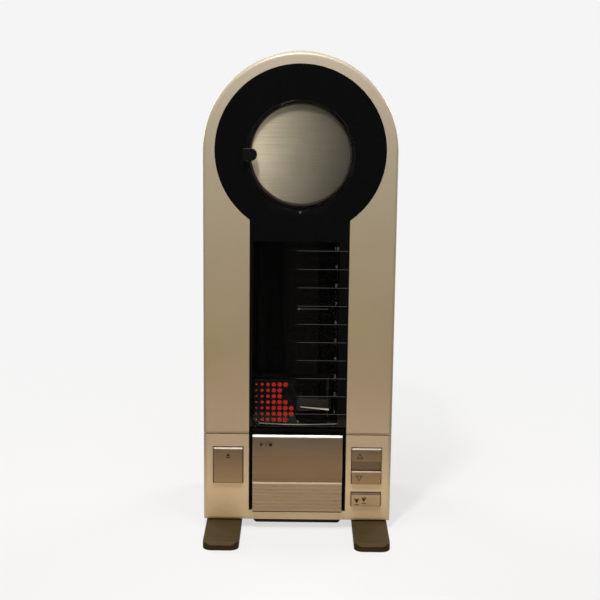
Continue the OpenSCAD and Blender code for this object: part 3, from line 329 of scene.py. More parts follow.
BOUNCE_TINT_FROM, BOUNCE_TINT_FULL = 125 * MM, 40 * MM
SHEEN_FROM, SHEEN_FULL = 100 * MM, 262 * MM
champagne = surface("champagne_paint", (0.226, 0.173, 0.089), (0.264, 0.203, 0.109), (0.34, 0.44),
                    metallic=0.15, grain_mm=0.16, relief_um=3.0, blotch_mm=45.0, edge_wear_and_shade=(0.36, 0.32, 0.255))
# Painted light: warmer towards the foot as bounce light, paler towards the top as a sheen.
fade_up(champagne, BOUNCE_TINT_FROM, BOUNCE_TINT_FULL, (0.244, 0.170, 0.104))
fade_up(champagne, SHEEN_FROM, SHEEN_FULL, (0.335, 0.285, 0.22))
eased("base_shell", "base", champagne, SHELL_EDGE)
eased("battery_door", "door", champagne, SHELL_EDGE)
steel = surface("bright_steel", (0.50, 0.50, 0.49), (0.62, 0.62, 0.60), (0.18, 0.28), metallic=1.0,
                grain_mm=0.12, relief_um=1.5)
dress(steel, "case_screws")

# Deck and battery tray. Charcoal and black mouldings with a fine spark-eroded grain; the deck is
# screwed to posts of the back shell and the tray stands behind it.
DECK_EDGE = 0.25
charcoal = surface("charcoal_moulding", (0.005, 0.0047, 0.0045), (0.0095, 0.0090, 0.0085), (0.5, 0.62),
                   grain_mm=0.22, relief_um=9.0, specular=0.03)
black_moulding = surface("black_moulding", (0.008, 0.0075, 0.007), (0.014, 0.013, 0.012), (0.38, 0.5),
                         grain_mm=0.2, relief_um=7.0, specular=0.3)
eased("base_deck", "base", charcoal, DECK_EDGE)
dress(black_moulding, "battery_tray")

# Boards. Green glass-epoxy laminate with copper tracks under the lacquer; both are carried on
# posts, one behind the keys with their switches and one behind the deck.
TRACK_PITCH = 3.3 * MM
BOARD_DARK = (0.016, 0.070, 0.026)
BOARD_LIGHT = (0.030, 0.105, 0.042)
board = surface("green_laminate", BOARD_DARK, BOARD_LIGHT, (0.25, 0.4), grain_mm=0.3, relief_um=4.0)
board_tree = board.node_tree
tracks = board_tree.nodes.new("ShaderNodeTexBrick")
tracks.inputs["Scale"].default_value = 1.0 / TRACK_PITCH
tracks.inputs["Mortar Size"].default_value = 0.035
tracks.inputs["Color1"].default_value = (*BOARD_DARK, 1.0)
tracks.inputs["Color2"].default_value = (*BOARD_LIGHT, 1.0)
tracks.inputs["Mortar"].default_value = (0.10, 0.16, 0.06, 1.0)
upright = board_tree.nodes.new("ShaderNodeMapping")
upright.inputs["Rotation"].default_value = (math.pi / 2, 0.0, 0.0)
board_tree.links.new(board_tree.nodes["place"].outputs["Object"], upright.inputs["Vector"])
board_tree.links.new(upright.outputs["Vector"], tracks.inputs["Vector"])
board_tree.links.new(tracks.outputs["Color"], board_tree.nodes["tone"].inputs[7])
dress(board, "control_board", "main_board")
dress(black_moulding, "key_switches")

# Drive motor. A zinc-plated plate and a coil board sit round a bronze sleeve bearing; the
# yoke and ring magnet turn with the platter's hub.
plated = surface("zinc_plate", (0.36, 0.36, 0.35), (0.48, 0.48, 0.46), (0.30, 0.42), metallic=1.0,
                 grain_mm=0.5, relief_um=2.0)
bronze = surface("sintered_bronze", (0.36, 0.23, 0.09), (0.48, 0.32, 0.14), (0.35, 0.5), metallic=1.0,
                 grain_mm=0.18, relief_um=5.0)
copper = surface("enamelled_wire", (0.36, 0.13, 0.05), (0.48, 0.19, 0.075), (0.28, 0.4), metallic=0.7,
                 grain_mm=0.25, stretch=(1, 0.15, 1), relief_um=14.0)
ferrite = surface("ferrite", (0.018, 0.018, 0.020), (0.032, 0.032, 0.035), (0.45, 0.6), grain_mm=0.3,
                  relief_um=8.0)
dress(plated, "motor_plate")
dress(copper, "stator_coils")
dress(bronze, "spindle_bearing")
dress(ferrite, "rotor_magnet")

# Platter, mat and spindle. A turned alloy disc carries a ribbed rubber mat; the bright spindle
# and the shaft are one turned piece pressed into the hub.
PLATTER_EDGE = 0.3
cast = surface("turned_alloy", (0.22, 0.22, 0.225), (0.30, 0.30, 0.305), (0.28, 0.4), metallic=1.0,
               grain_mm=0.3, relief_um=3.0)
mat_rubber = surface("mat_rubber", (0.012, 0.012, 0.012), (0.024, 0.023, 0.022), (0.62, 0.78),
                     grain_mm=0.35, relief_um=16.0)
eased("platter", "platter", cast, PLATTER_EDGE)
dress(mat_rubber, "platter_mat")
dress(steel, "spindle")

# Cells and contacts. Six round cells in two rows, in plain dark jackets, between bright steel
# plates at the ends of the tray.
jacket = surface("cell_jacket", (0.030, 0.035, 0.050), (0.045, 0.052, 0.072), (0.22, 0.32), metallic=0.35,
                 grain_mm=0.6, relief_um=2.0)
dress(jacket, "battery_cells")
dress(steel, "battery_contacts")

# Jacks, inlet and pads. Black moulded sockets let into the right-hand wall, and four soft
# rubber pads bonded to the back for when the player lies flat.
PAD_EDGE = 0.5
dress(black_moulding, "audio_jacks", "dc_inlet")
eased("back_pads", "base", mat_rubber, PAD_EDGE)

# Skid and feet. The skid is a brown-black moulding under the base; the feet are thick olive-brown
# tongues on steel pins, with a dull, mottled skin and worn edges, and a darker olive painted on all
# but their upward faces as shade.
SKID_EDGE, FOOT_EDGE = 0.5, 0.55
FACES_UP = 0.6
skid_brown = surface("brown_black_moulding", (0.024, 0.0145, 0.0068), (0.036, 0.023, 0.0115), (0.5, 0.62),
                     grain_mm=0.25, relief_um=8.0, specular=0.06)
eased("base_skid", "base", skid_brown, SKID_EDGE)
olive = surface("olive_moulding", (0.041, 0.0265, 0.0098), (0.071, 0.0475, 0.0195), (0.50, 0.60),
                metallic=0.1, grain_mm=0.25, relief_um=9.0, blotch_mm=8.0, specular=0.06,
                edge_wear_and_shade=(0.10, 0.07, 0.034))
foot_painted_shade = surface("olive_painted_shade", (0.0185, 0.0105, 0.0038), (0.027, 0.0165, 0.0068), (0.50, 0.62),
                    grain_mm=0.25, relief_um=9.0, specular=0.04)
for node, body in (("left_foot", "foot_left"), ("right_foot", "foot_right")):
    foot = eased(node, body, olive, FOOT_EDGE, 3)
    foot.data.materials.append(foot_painted_shade)
    # Faces that do not look up take the painted shade.
    for face in foot.data.polygons:
        face.material_index = 0 if face.normal.z > FACES_UP else 1
dress(steel, "foot_pins")

# Control face and start well. A black plastic plate sprayed like the shell, a little warmer, its
# paint darkened towards the top as painted shade, with the walls of its key openings left bare, and
# the well's black tray snapped in behind its notch.
FACE_EDGE, WELL_EDGE = 0.12, 0.2
FACE_SHADE_FROM, FACE_SHADE_FULL = 22 * MM, 49 * MM
OPENINGS_X = (30.0 * MM, 47.4 * MM)
OPENINGS_Z = (13.2 * MM, 48.0 * MM)
FACES_FRONT = -0.95
face_paint = surface("control_face_paint", (0.416, 0.304, 0.172), (0.473, 0.350, 0.207), (0.34, 0.44),
                     metallic=0.15, grain_mm=0.16, relief_um=3.0, blotch_mm=35.0, edge_wear_and_shade=(0.52, 0.41, 0.27))
# Painted shade: the face darkens towards the top.
fade_up(face_paint, FACE_SHADE_FROM, FACE_SHADE_FULL, (0.265, 0.193, 0.116))
matt_black = surface("matt_black", (0.0018, 0.0017, 0.0016), (0.0034, 0.0032, 0.0030), (0.62, 0.75),
                     grain_mm=0.25, relief_um=8.0, specular=0.015)
plate = eased("control_panel", "base", face_paint, FACE_EDGE)
plate.data.materials.append(matt_black)
for face in plate.data.polygons:
    beside = OPENINGS_X[0] < abs(face.center.x) < OPENINGS_X[1]
    level_with = OPENINGS_Z[0] < face.center.z < OPENINGS_Z[1]
    if beside and level_with and face.normal.y > FACES_FRONT:
        face.material_index = 1
eased("start_well", "base", matt_black, WELL_EDGE)

# Start bar. Extruded alloy, hairline brushed across and anodised a warm bronze, with a painted
# highlight along its top edge; the plain plate is darker than the thumb grip below it and painted
# darker towards the top as shade, and the grip's grooves are painted lighter to lift the shade in
# them. It tilts on two blackened steel pins behind its top edge.
BAR_EDGE = 0.12
BAR_LEAN = 0.056
BAR_HIGHLIGHT_FROM = 53.75 * MM
SHADED_FROM, SHADED_FULL = 36 * MM, 53 * MM
GRIP_TOP = 27.15 * MM
GROOVE_FROM, GROOVE_TO = 0.1 * MM, 0.8 * MM
SLOPES = 0.15
bar_plate = surface("bronze_anodised", (0.116, 0.067, 0.0250), (0.145, 0.085, 0.0335), (0.44, 0.54),
                    metallic=0.4, grain_mm=0.5, stretch=(0.01, 1, 1), relief_um=3.0, blotch_mm=18.0,
                    edge_wear_and_shade=(0.60, 0.54, 0.46))
# Painted shade: the plate darkens towards its top.
fade_up(bar_plate, SHADED_FROM, SHADED_FULL, (0.066, 0.042, 0.0225))
bar_grip = surface("bronze_machined", (0.185, 0.125, 0.069), (0.232, 0.162, 0.093), (0.50, 0.60),
                   metallic=0.35, grain_mm=0.4, stretch=(0.01, 1, 1), relief_um=3.0, blotch_mm=18.0)
groove_painted_light = surface("bronze_groove_painted_light", (0.25, 0.178, 0.102), (0.305, 0.22, 0.129), (0.50, 0.60),
                      metallic=0.3, grain_mm=0.4, stretch=(0.01, 1, 1), relief_um=3.0, blotch_mm=18.0)
bar_top_highlight = surface("bar_painted_highlight", (0.48, 0.46, 0.42), (0.58, 0.56, 0.52), (0.40, 0.5),
                      metallic=0.5, grain_mm=0.4, stretch=(0.02, 1, 1), relief_um=2.0)
blackened = surface("blackened_steel", (0.006, 0.006, 0.0062), (0.011, 0.011, 0.0112), (0.35, 0.46),
                    metallic=0.3, grain_mm=0.15, relief_um=1.5, specular=0.15)


def slice_at(bm, point, normal):
    whole = bm.verts[:] + bm.edges[:] + bm.faces[:]
    bmesh.ops.bisect_plane(bm, geom=whole, dist=1e-7, plane_co=point, plane_no=normal)


def finish_top_edge(piece, low, finish):
    """The slope along the top of the piece gets a colour of its own, down to a line: a painted highlight
    where the finish is pale, painted shade where it is dark.
    """
    piece.data.materials.append(finish)
    edge_slot = len(piece.data.materials) - 1
    bm = bmesh.new()
    bm.from_mesh(piece.data)
    slice_at(bm, (0.0, 0.0, low), (0.0, 0.0, 1.0))
    for face in bm.faces:
        sloping = face.normal.z > SLOPES and face.normal.y < -SLOPES
        if sloping and face.calc_center_median().z > low:
            face.material_index = edge_slot
    bm.to_mesh(piece.data)
    bm.free()


bar = eased("start_bar", "start", bar_plate, BAR_EDGE)
bar.data.materials.append(bar_grip)
bar.data.materials.append(groove_painted_light)
bar_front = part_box("start_bar")[0]
# The grooves of the grip take the lighter bronze, painted light against the shade in them.
for face in bar.data.polygons:
    if face.center.z < GRIP_TOP:
        sunk = face.center.y - bar_front.y - BAR_LEAN * (face.center.z - bar_front.z)
        face.material_index = 2 if GROOVE_FROM < sunk < GROOVE_TO else 1
# Painted highlight along the top edge.
finish_top_edge(bar, BAR_HIGHLIGHT_FROM, bar_top_highlight)
dress(blackened, "start_pins")

# Strip under the bar. A thin black strip along the bar's lower edge is a painted shadow: it stands
# for the shadow the bar casts on the sill below it. It tilts with the bar.
SHADOW_STRIP_FRONT, SHADOW_STRIP_BACK = -28.25 * MM, -27.75 * MM
SHADOW_STRIP_HALF = 24.9 * MM
SHADOW_STRIP_TALL = 0.45 * MM
painted_shadow_strip = surface("painted_shadow_strip", (0.008, 0.006, 0.004), (0.014, 0.011, 0.008), (0.6, 0.75),
                        grain_mm=0.3, relief_um=8.0, specular=0.1)
bm = bmesh.new()
bmesh.ops.create_cube(bm, size=1.0)
bmesh.ops.scale(bm, vec=(2 * SHADOW_STRIP_HALF, SHADOW_STRIP_BACK - SHADOW_STRIP_FRONT, SHADOW_STRIP_TALL), verts=bm.verts)
shadow_strip_z = bar_front.z - SHADOW_STRIP_TALL / 2
bmesh.ops.translate(bm, vec=(0.0, (SHADOW_STRIP_FRONT + SHADOW_STRIP_BACK) / 2, shadow_strip_z), verts=bm.verts)
finished("bar_shadow_strip", bm, "start", painted_shadow_strip)

# Keys and the strip between the search keys. The same alloy as the bar, each key in one piece with
# its stem, their eased edges painted dark as shade; the release and search keys are painted darker
# towards the top as shade and have a painted highlight along their top edge, the cue key is a little
# brighter with painted shade along its top edge, and the strip is painted darker, as shade in its
# recess.
KEY_EDGE, STRIP_EDGE = 0.3, 0.15
KEY_SHADE_FROM, KEY_SHADE_FULL = 28 * MM, 47 * MM


def key_bronze(name, dark, light):
    """Brushed bronze whose eased edges are painted dark, as the shade of the gaps round the keys."""
    return surface(name, dark, light, (0.44, 0.54), metallic=0.4, grain_mm=0.5, stretch=(0.01, 1, 1),
                   relief_um=3.0, blotch_mm=12.0, edge_wear_and_shade=(0.035, 0.022, 0.011))


key_metal = key_bronze("bronze_key", (0.165, 0.102, 0.041), (0.209, 0.132, 0.056))
# Painted shade: the keys darken towards the top.
fade_up(key_metal, KEY_SHADE_FROM, KEY_SHADE_FULL, (0.075, 0.043, 0.018))
cue_metal = key_bronze("bronze_cue_key", (0.262, 0.180, 0.088), (0.312, 0.22, 0.114))
divider_painted_shade = key_bronze("bronze_divider_shaded", (0.080, 0.047, 0.019), (0.100, 0.060, 0.025))
key_top_highlight = surface("key_top_painted_highlight", (0.178, 0.155, 0.122), (0.224, 0.197, 0.158), (0.40, 0.5),
                   metallic=0.4, grain_mm=0.4, stretch=(0.02, 1, 1), relief_um=2.0)
cue_top_shade = surface("bronze_shaded_edge", (0.040, 0.026, 0.013), (0.056, 0.037, 0.020), (0.5, 0.6),
                      metallic=0.3, grain_mm=0.4, stretch=(0.02, 1, 1), relief_um=2.0)
for node, body, metal, edge_low, edge in (("release_button", "release", key_metal, 46.4, key_top_highlight),
                                          ("search_up_button", "search_up", key_metal, 46.8, key_top_highlight),
                                          ("search_down_button", "search_down", key_metal, 33.75, key_top_highlight),
                                          ("cue_button", "cue", cue_metal, 20.6, cue_top_shade)):
    key = eased(node, body, metal, KEY_EDGE)
    finish_top_edge(key, edge_low * MM, edge)
eased("search_divider", "base", divider_painted_shade, STRIP_EDGE)

# Marks on the bar and keys. Screen-printed dark brown ink: a run sign and a stop square on the
# bar, a lift-out sign on the release key, arrowheads on the search keys, needles on the cue key.
INK = 0.04 * MM
POINT_UP = 0.0
POINT_DOWN = math.pi
POINT_RIGHT = -math.pi / 2
key_ink = surface("brown_ink", (0.010, 0.007, 0.004), (0.017, 0.012, 0.007), (0.5, 0.65), grain_mm=0.2,
                  relief_um=2.0, specular=0.1)


def print_on(face_y, x, z, turn=0.0):
    """Where a mark lies that is drawn flat and stood up against an upright face."""
    lay = Matrix.Rotation(math.pi / 2, 4, "X") @ Matrix.Rotation(turn, 4, "Z")
    return Matrix.Translation((x, face_y, z)) @ lay


def draw_out(bm, faces, way):
    drawn = bmesh.ops.extrude_face_region(bm, geom=faces)["geom"]
    corners = [part for part in drawn if isinstance(part, bmesh.types.BMVert)]
    bmesh.ops.translate(bm, verts=corners, vec=way)


def lay_ink(bm, faces, earlier, place):
    """The flat mark gets the ink's thickness and goes to its place."""
    draw_out(bm, faces, (0.0, 0.0, INK))
    bmesh.ops.transform(bm, matrix=place, verts=[v for v in bm.verts if v not in earlier])


def ink_arrowhead(bm, place, radius, line):
    """A three-sided outline with its point up, or a full one where line is 0."""
    earlier = set(bm.verts)
    ring = bmesh.ops.create_circle(bm, cap_ends=True, segments=3, radius=radius)["verts"]
    face = ring[0].link_faces[0]
    kept = [face]
    if line:
        kept = bmesh.ops.inset_individual(bm, faces=[face], thickness=line)["faces"]
        bmesh.ops.delete(bm, geom=[face], context="FACES_ONLY")
    lay_ink(bm, kept, earlier, place)


def ink_bar(bm, place, width, height):
    earlier = set(bm.verts)
    side = bmesh.ops.create_grid(bm, x_segments=1, y_segments=1, size=0.5)["verts"]
    bmesh.ops.scale(bm, vec=(width, height, 1.0), verts=side)
    lay_ink(bm, list(side[0].link_faces), earlier, place)


def printed(name, bm, body, material):
    bmesh.ops.recalc_face_normals(bm, faces=bm.faces)
    return finished(name, bm, body, material)


START_Z = 49.6 * MM
RUN_X, SLASH_X, STOP_X = -20.2 * MM, -17.4 * MM, -15.0 * MM
RUN_RADIUS = 1.1 * MM
SLASH_WIDE, SLASH_TALL = 0.25 * MM, 2.6 * MM
SLASH_LEAN = math.radians(-25)
STOP_SIDE = 1.7 * MM
bm = bmesh.new()
ink_arrowhead(bm, print_on(bar_front.y, RUN_X, START_Z, POINT_RIGHT), RUN_RADIUS, 0.0)
ink_bar(bm, print_on(bar_front.y, SLASH_X, START_Z, SLASH_LEAN), SLASH_WIDE, SLASH_TALL)
ink_bar(bm, print_on(bar_front.y, STOP_X, START_Z), STOP_SIDE, STOP_SIDE)
printed("start_mark", bm, "start", key_ink)

RELEASE_X = -38.7 * MM
LIFT_Z, LIFT_LINE_Z = 42.9 * MM, 41.5 * MM
LIFT_RADIUS = 1.3 * MM
LIFT_LINE_WIDE, LIFT_LINE_TALL = 2.4 * MM, 0.5 * MM
release_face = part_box("release_button")[0].y
bm = bmesh.new()
ink_arrowhead(bm, print_on(release_face, RELEASE_X, LIFT_Z, POINT_UP), LIFT_RADIUS, 0.0)
ink_bar(bm, print_on(release_face, RELEASE_X, LIFT_LINE_Z), LIFT_LINE_WIDE, LIFT_LINE_TALL)
printed("release_mark", bm, "release", key_ink)

ARROW_RADIUS, ARROW_LINE = 2.2 * MM, 0.75 * MM
for node, body, turn, x, z in (("search_up_button", "search_up", POINT_UP, 34.9, 42.6),
                               ("search_down_button", "search_down", POINT_DOWN, 34.7, 30.7)):
    bm = bmesh.new()
    arrow_place = print_on(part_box(node)[0].y, x * MM, z * MM, turn)
    ink_arrowhead(bm, arrow_place, ARROW_RADIUS, ARROW_LINE)
    printed(body + "_mark", bm, body, key_ink)

NEEDLE_RADIUS = 1.35 * MM
NEEDLE_PLACES = ((33.6, 16.8), (37.6, 17.6))
NEEDLE_LINES = ((1.1, 2.8, 0.5), (-2.1, 2.5, 0.4))
cue_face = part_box("cue_button")[0].y
bm = bmesh.new()
for x, z in NEEDLE_PLACES:
    ink_arrowhead(bm, print_on(cue_face, x * MM, z * MM, POINT_DOWN), NEEDLE_RADIUS, 0.0)
    for lift, wide, tall in NEEDLE_LINES:
        ink_bar(bm, print_on(cue_face, x * MM, (z + lift) * MM), wide * MM, tall * MM)
printed("cue_mark", bm, "cue", key_ink)

# Lid. A painted moulding like the back shell, on a blackened steel hinge pin, with a plated steel
# striker for its catch and a black liner that closes it behind; its hinge knuckle and the web
# behind that are masked black.
LID_EDGE = 0.12
KNUCKLE_HALF = 27.1 * MM
KNUCKLE_TOP = 59.2 * MM
KNUCKLE_BACK = -19.5 * MM
lid = eased("lid_cover", "lid", champagne, LID_EDGE)
lid.data.materials.append(matt_black)
for face in lid.data.polygons:
    if abs(face.center.x) < KNUCKLE_HALF and face.center.z < KNUCKLE_TOP and face.center.y < KNUCKLE_BACK:
        face.material_index = 1
dress(plated, "lid_striker")
dress(matt_black, "lid_liner")
dress(blackened, "hinge_pin")

# Bead under the lid. A thin bead on each side of the hinge closes the seam to a fine line; its pale
# colour is painted light that lifts the shade in the seam. It is pressed into the lid's lower edge
# and follows the hinge's arc, so that it clears the base.
BEAD_OUTLINE = ((0.9, 55.3), (0.9, 55.06), (1.25, 54.92), (1.9, 54.82), (2.5, 54.9), (2.5, 55.3))
BEAD_INSET, BEAD_GAP = 0.2 * MM, 0.3 * MM
bead_painted_light = surface("pale_bead_painted_light", (0.62, 0.50, 0.335), (0.70, 0.57, 0.39), (0.45, 0.55), grain_mm=0.3,
                    relief_um=4.0, specular=0.3)
lid_low, lid_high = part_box("lid_cover")
bead_out = lid_high.x - BEAD_INSET
bead_in = KNUCKLE_HALF + BEAD_GAP
bm = bmesh.new()
for left in (-bead_out, bead_in):
    end = bm.faces.new([bm.verts.new((left, lid_low.y + d * MM, z * MM)) for d, z in BEAD_OUTLINE])
    draw_out(bm, [end], (bead_out - bead_in, 0.0, 0.0))
bmesh.ops.recalc_face_normals(bm, faces=bm.faces)
finished("lid_bead", bm, "lid", bead_painted_light)

# Keyhole panel. One sheet of lightly smoked acrylic, let in flush; black ink masks all but the
# window in front of the carriage, which is left clear.
WINDOW = ((-25.2 * MM, 59.4 * MM), (21.9 * MM, 163.5 * MM))
PANEL_EDGE = 0.15
PANEL_CREASE = math.radians(30)
FLAT_ON = 0.9
smoked = surface("smoked_acrylic", (0.0016, 0.0015, 0.0014), (0.0024, 0.0023, 0.0022), (0.04, 0.07),
                 grain_mm=3.0, relief_um=0.2, blotch_mm=50.0, specular=0.04)
smoked.node_tree.nodes["Principled BSDF"].inputs["Alpha"].default_value = 0.14
mask_ink = surface("black_mask_ink", (0.0014, 0.0014, 0.0015), (0.0022, 0.0022, 0.0022), (0.05, 0.09),
                   grain_mm=2.0, relief_um=0.3, blotch_mm=60.0, specular=0.025)
bm = merged_copy("keyhole_panel")
break_edges(bm, PANEL_EDGE, 1)
for (x, z), inward in ((WINDOW[0], 1.0), (WINDOW[1], -1.0)):
    slice_at(bm, (x, 0.0, 0.0), (inward, 0.0, 0.0))
    slice_at(bm, (0.0, 0.0, z), (0.0, 0.0, inward))
for face in bm.faces:
    middle = face.calc_center_median()
    inside = all(WINDOW[0][i] < middle[axis] < WINDOW[1][i] for i, axis in ((0, 0), (1, 2)))
    face.material_index = 0 if inside and abs(face.normal.y) > FLAT_ON else 1
panel = finished("keyhole_panel_masked", bm, "lid", smoked)
panel.data.materials.append(mask_ink)
panel.data.set_sharp_from_angle(angle=PANEL_CREASE)
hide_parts("keyhole_panel")

# Scale on the panel. Dim grey print: ten rules about a centimetre apart on the record's radius, each
# with its number, dots for the two record sizes, and a dot under the knob for its rest place.
RULE_FIRST = 66.8 * MM
RULE_PITCH = 10.2 * MM
RULE_LEFT, RULE_RIGHT = -1.0 * MM, 26.6 * MM
RULE_TALL = 0.16 * MM
NUMBER_X = 20.2 * MM
NUMBER_TALL = 1.9 * MM
NUMBER_LIFT = 0.5 * MM
TYPE_PER_TALL = 1.4
SMALL_RECORD_Z = 126.4 * MM
RECORD_LINE_WIDE, RECORD_LINE_TALL = 16.0 * MM, 0.2 * MM
LARGE_RECORD_Z = 62.4 * MM
KNOB_REST_Z = 179.6 * MM
DOT_RADIUS = 0.6 * MM
scale_ink = surface("grey_ink", (0.042, 0.042, 0.040), (0.062, 0.062, 0.059), (0.5, 0.65), grain_mm=0.3,
                    relief_um=2.0)


def ink_number(bm, place, number, tall):
    letters = bpy.data.curves.new("number", "FONT")
    letters.body = str(number)
    letters.size = tall * TYPE_PER_TALL
    letters.align_x = "CENTER"
    letters.resolution_u = 3
    letters.extrude = INK / 2
    holder = bpy.data.objects.new("number", letters)
    scene.collection.objects.link(holder)
    shape = bpy.data.meshes.new_from_object(holder.evaluated_get(bpy.context.evaluated_depsgraph_get()))
    bpy.data.objects.remove(holder)
    shape.transform(place @ Matrix.Translation((0.0, 0.0, INK / 2)))
    bm.from_mesh(shape)


def ink_dot(bm, place, radius):
    earlier = set(bm.verts)
    ring = bmesh.ops.create_circle(bm, cap_ends=True, segments=16, radius=radius)["verts"]
    lay_ink(bm, list(ring[0].link_faces)[:1], earlier, place)


panel_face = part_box("keyhole_panel")[0].y
rule_middle = (RULE_LEFT + RULE_RIGHT) / 2
bm = bmesh.new()
for number in range(1, 11):
    z = RULE_FIRST + (number - 1) * RULE_PITCH
    ink_bar(bm, print_on(panel_face, rule_middle, z), RULE_RIGHT - RULE_LEFT, RULE_TALL)
    ink_number(bm, print_on(panel_face, NUMBER_X, z + NUMBER_LIFT), number, NUMBER_TALL)
for z in (SMALL_RECORD_Z, LARGE_RECORD_Z, KNOB_REST_Z):
    ink_dot(bm, print_on(panel_face, 0.0, z), DOT_RADIUS)
record_line = print_on(panel_face, RECORD_LINE_WIDE / 2, SMALL_RECORD_Z)
ink_bar(bm, record_line, RECORD_LINE_WIDE, RECORD_LINE_TALL)
printed("panel_scale", bm, "lid", scale_ink)

# Feed drive. A matt black guide rod and lead screw, with nut and bushes, between two matt black
# brackets, driven by a small blackened can motor through a bronze pinion and a nylon gear.
nylon = surface("nylon", (0.62, 0.58, 0.48), (0.70, 0.66, 0.56), (0.35, 0.48), grain_mm=0.5, relief_um=4.0)
dress(blackened, "feed_motor")
dress(matt_black, "guide_rod", "feed_screw", "upper_bracket", "lower_bracket", "feed_nut", "rod_bushes")
dress(nylon, "screw_gear")
dress(bronze, "motor_pinion")

# Carriage. A black frame that rides on the rod and the screw, with a glossy black front that
# shows through the window and a thin bowed ledge along its foot, whose bright front face is a
# painted highlight and whose other faces are matt black.
COVER_EDGE = 0.4
LEDGE_HALF = 21.8 * MM
LEDGE_END_Z = 60.3 * MM
LEDGE_BOW = 0.6 * MM
LEDGE_TALL = 0.6 * MM
LEDGE_PROUD = 0.5 * MM
LEDGE_CUTS = 15
FACES_OUT = -0.5
black_gloss = surface("black_gloss", (0.0022, 0.0020, 0.0019), (0.0034, 0.0032, 0.0030), (0.05, 0.10),
                      grain_mm=1.5, relief_um=0.6, specular=0.06)
dress(matt_black, "carriage_frame")
eased("carriage_cover", "carriage", black_gloss, COVER_EDGE, 3)
dress(blackened, "arm_pivot_pin")
ledge_painted_highlight = surface("ledge_highlight_strip", (0.45, 0.425, 0.37), (0.56, 0.53, 0.47), (0.30, 0.42), metallic=0.8,
                      grain_mm=0.3, stretch=(0.05, 1, 1), relief_um=2.0)
cover_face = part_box("carriage_cover")[0].y
ledge_front = cover_face - LEDGE_PROUD
ledge_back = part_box("carriage_frame")[0].y
bm = bmesh.new()
bmesh.ops.create_cube(bm, size=1.0)
bmesh.ops.scale(bm, vec=(2 * LEDGE_HALF, ledge_back - ledge_front, LEDGE_TALL), verts=bm.verts)
long_edges = [e for e in bm.edges if abs(e.verts[0].co.x - e.verts[1].co.x) > LEDGE_HALF]
bmesh.ops.subdivide_edges(bm, edges=long_edges, cuts=LEDGE_CUTS, use_grid_fill=True)
for vert in bm.verts:
    vert.co.z -= LEDGE_BOW * (1.0 - (vert.co.x / LEDGE_HALF) ** 2)
bmesh.ops.translate(bm, verts=bm.verts, vec=(0.0, (ledge_front + ledge_back) / 2, LEDGE_END_Z))
# The front face takes the painted highlight, the rest matt black.
for face in bm.faces:
    face.material_index = 0 if face.normal.y < FACES_OUT else 1
ledge = finished("carriage_ledge", bm, "carriage", ledge_painted_highlight)
ledge.data.materials.append(matt_black)

# Dots on the carriage. Red paint, dabbed in seven rows that grow from left to right, so that
# the place of the needle is found at a glance.
DOT_FIRST = (-23.3 * MM, 82.5 * MM)
DOT_PITCH = (3.26 * MM, 3.39 * MM)
DOT_WIDTHS = (1.05, 1.65, 2.05, 2.4, 2.6, 2.7, 2.7)
DOT_ROWS = (6, 5, 5, 6, 7, 7, 6)
dot_red = surface("signal_red", (0.40, 0.022, 0.013), (0.52, 0.034, 0.020), (0.45, 0.6), grain_mm=0.3,
                  relief_um=3.0, specular=0.06)
bm = bmesh.new()
for row, count in enumerate(DOT_ROWS):
    for column in range(count):
        x = DOT_FIRST[0] + column * DOT_PITCH[0]
        z = DOT_FIRST[1] - row * DOT_PITCH[1]
        ink_dot(bm, print_on(cover_face, x, z), DOT_WIDTHS[column] / 2 * MM)
printed("carriage_dots", bm, "carriage", dot_red)

# Tone arm. A short beam on a vertical pin, sprayed black, with a tapered rib along its front whose
# bright metal is a painted highlight, a black pickup and a red stylus holder under its head.
ARM_EDGE = 0.35
RIB_LEFT = (1.4 * MM, 68.6 * MM)
RIB_RIGHT = (17.4 * MM, 67.2 * MM)
RIB_TALL = (0.35 * MM, 0.95 * MM)
RIB_PROUD = 0.5 * MM
stylus_red = surface("stylus_red", (0.30, 0.035, 0.022), (0.40, 0.055, 0.034), (0.3, 0.42), grain_mm=0.3,
                     relief_um=4.0)
arm_black = surface("arm_black", (0.013, 0.0105, 0.008), (0.020, 0.0165, 0.0125), (0.35, 0.46),
                    metallic=0.2, grain_mm=0.2, relief_um=3.0, specular=0.15)
arm_rib_painted_highlight = surface("arm_rib_painted_highlight", (0.36, 0.345, 0.31), (0.46, 0.44, 0.40), (0.24, 0.34), metallic=0.9,
                    grain_mm=0.3, stretch=(0.05, 1, 1), relief_um=2.0)
eased("tonearm", "arm", arm_black, ARM_EDGE)
dress(black_moulding, "cartridge")
dress(stylus_red, "stylus")
arm_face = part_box("tonearm")[0].y
bm = bmesh.new()
bmesh.ops.create_cube(bm, size=1.0)
for vert in bm.verts:
    end = 0 if vert.co.x < 0 else 1
    x, z = (RIB_LEFT, RIB_RIGHT)[end]
    vert.co = Vector((x, arm_face - RIB_PROUD * (0.5 - vert.co.y), z + RIB_TALL[end] * vert.co.z))
finished("arm_rib", bm, "arm", arm_rib_painted_highlight)

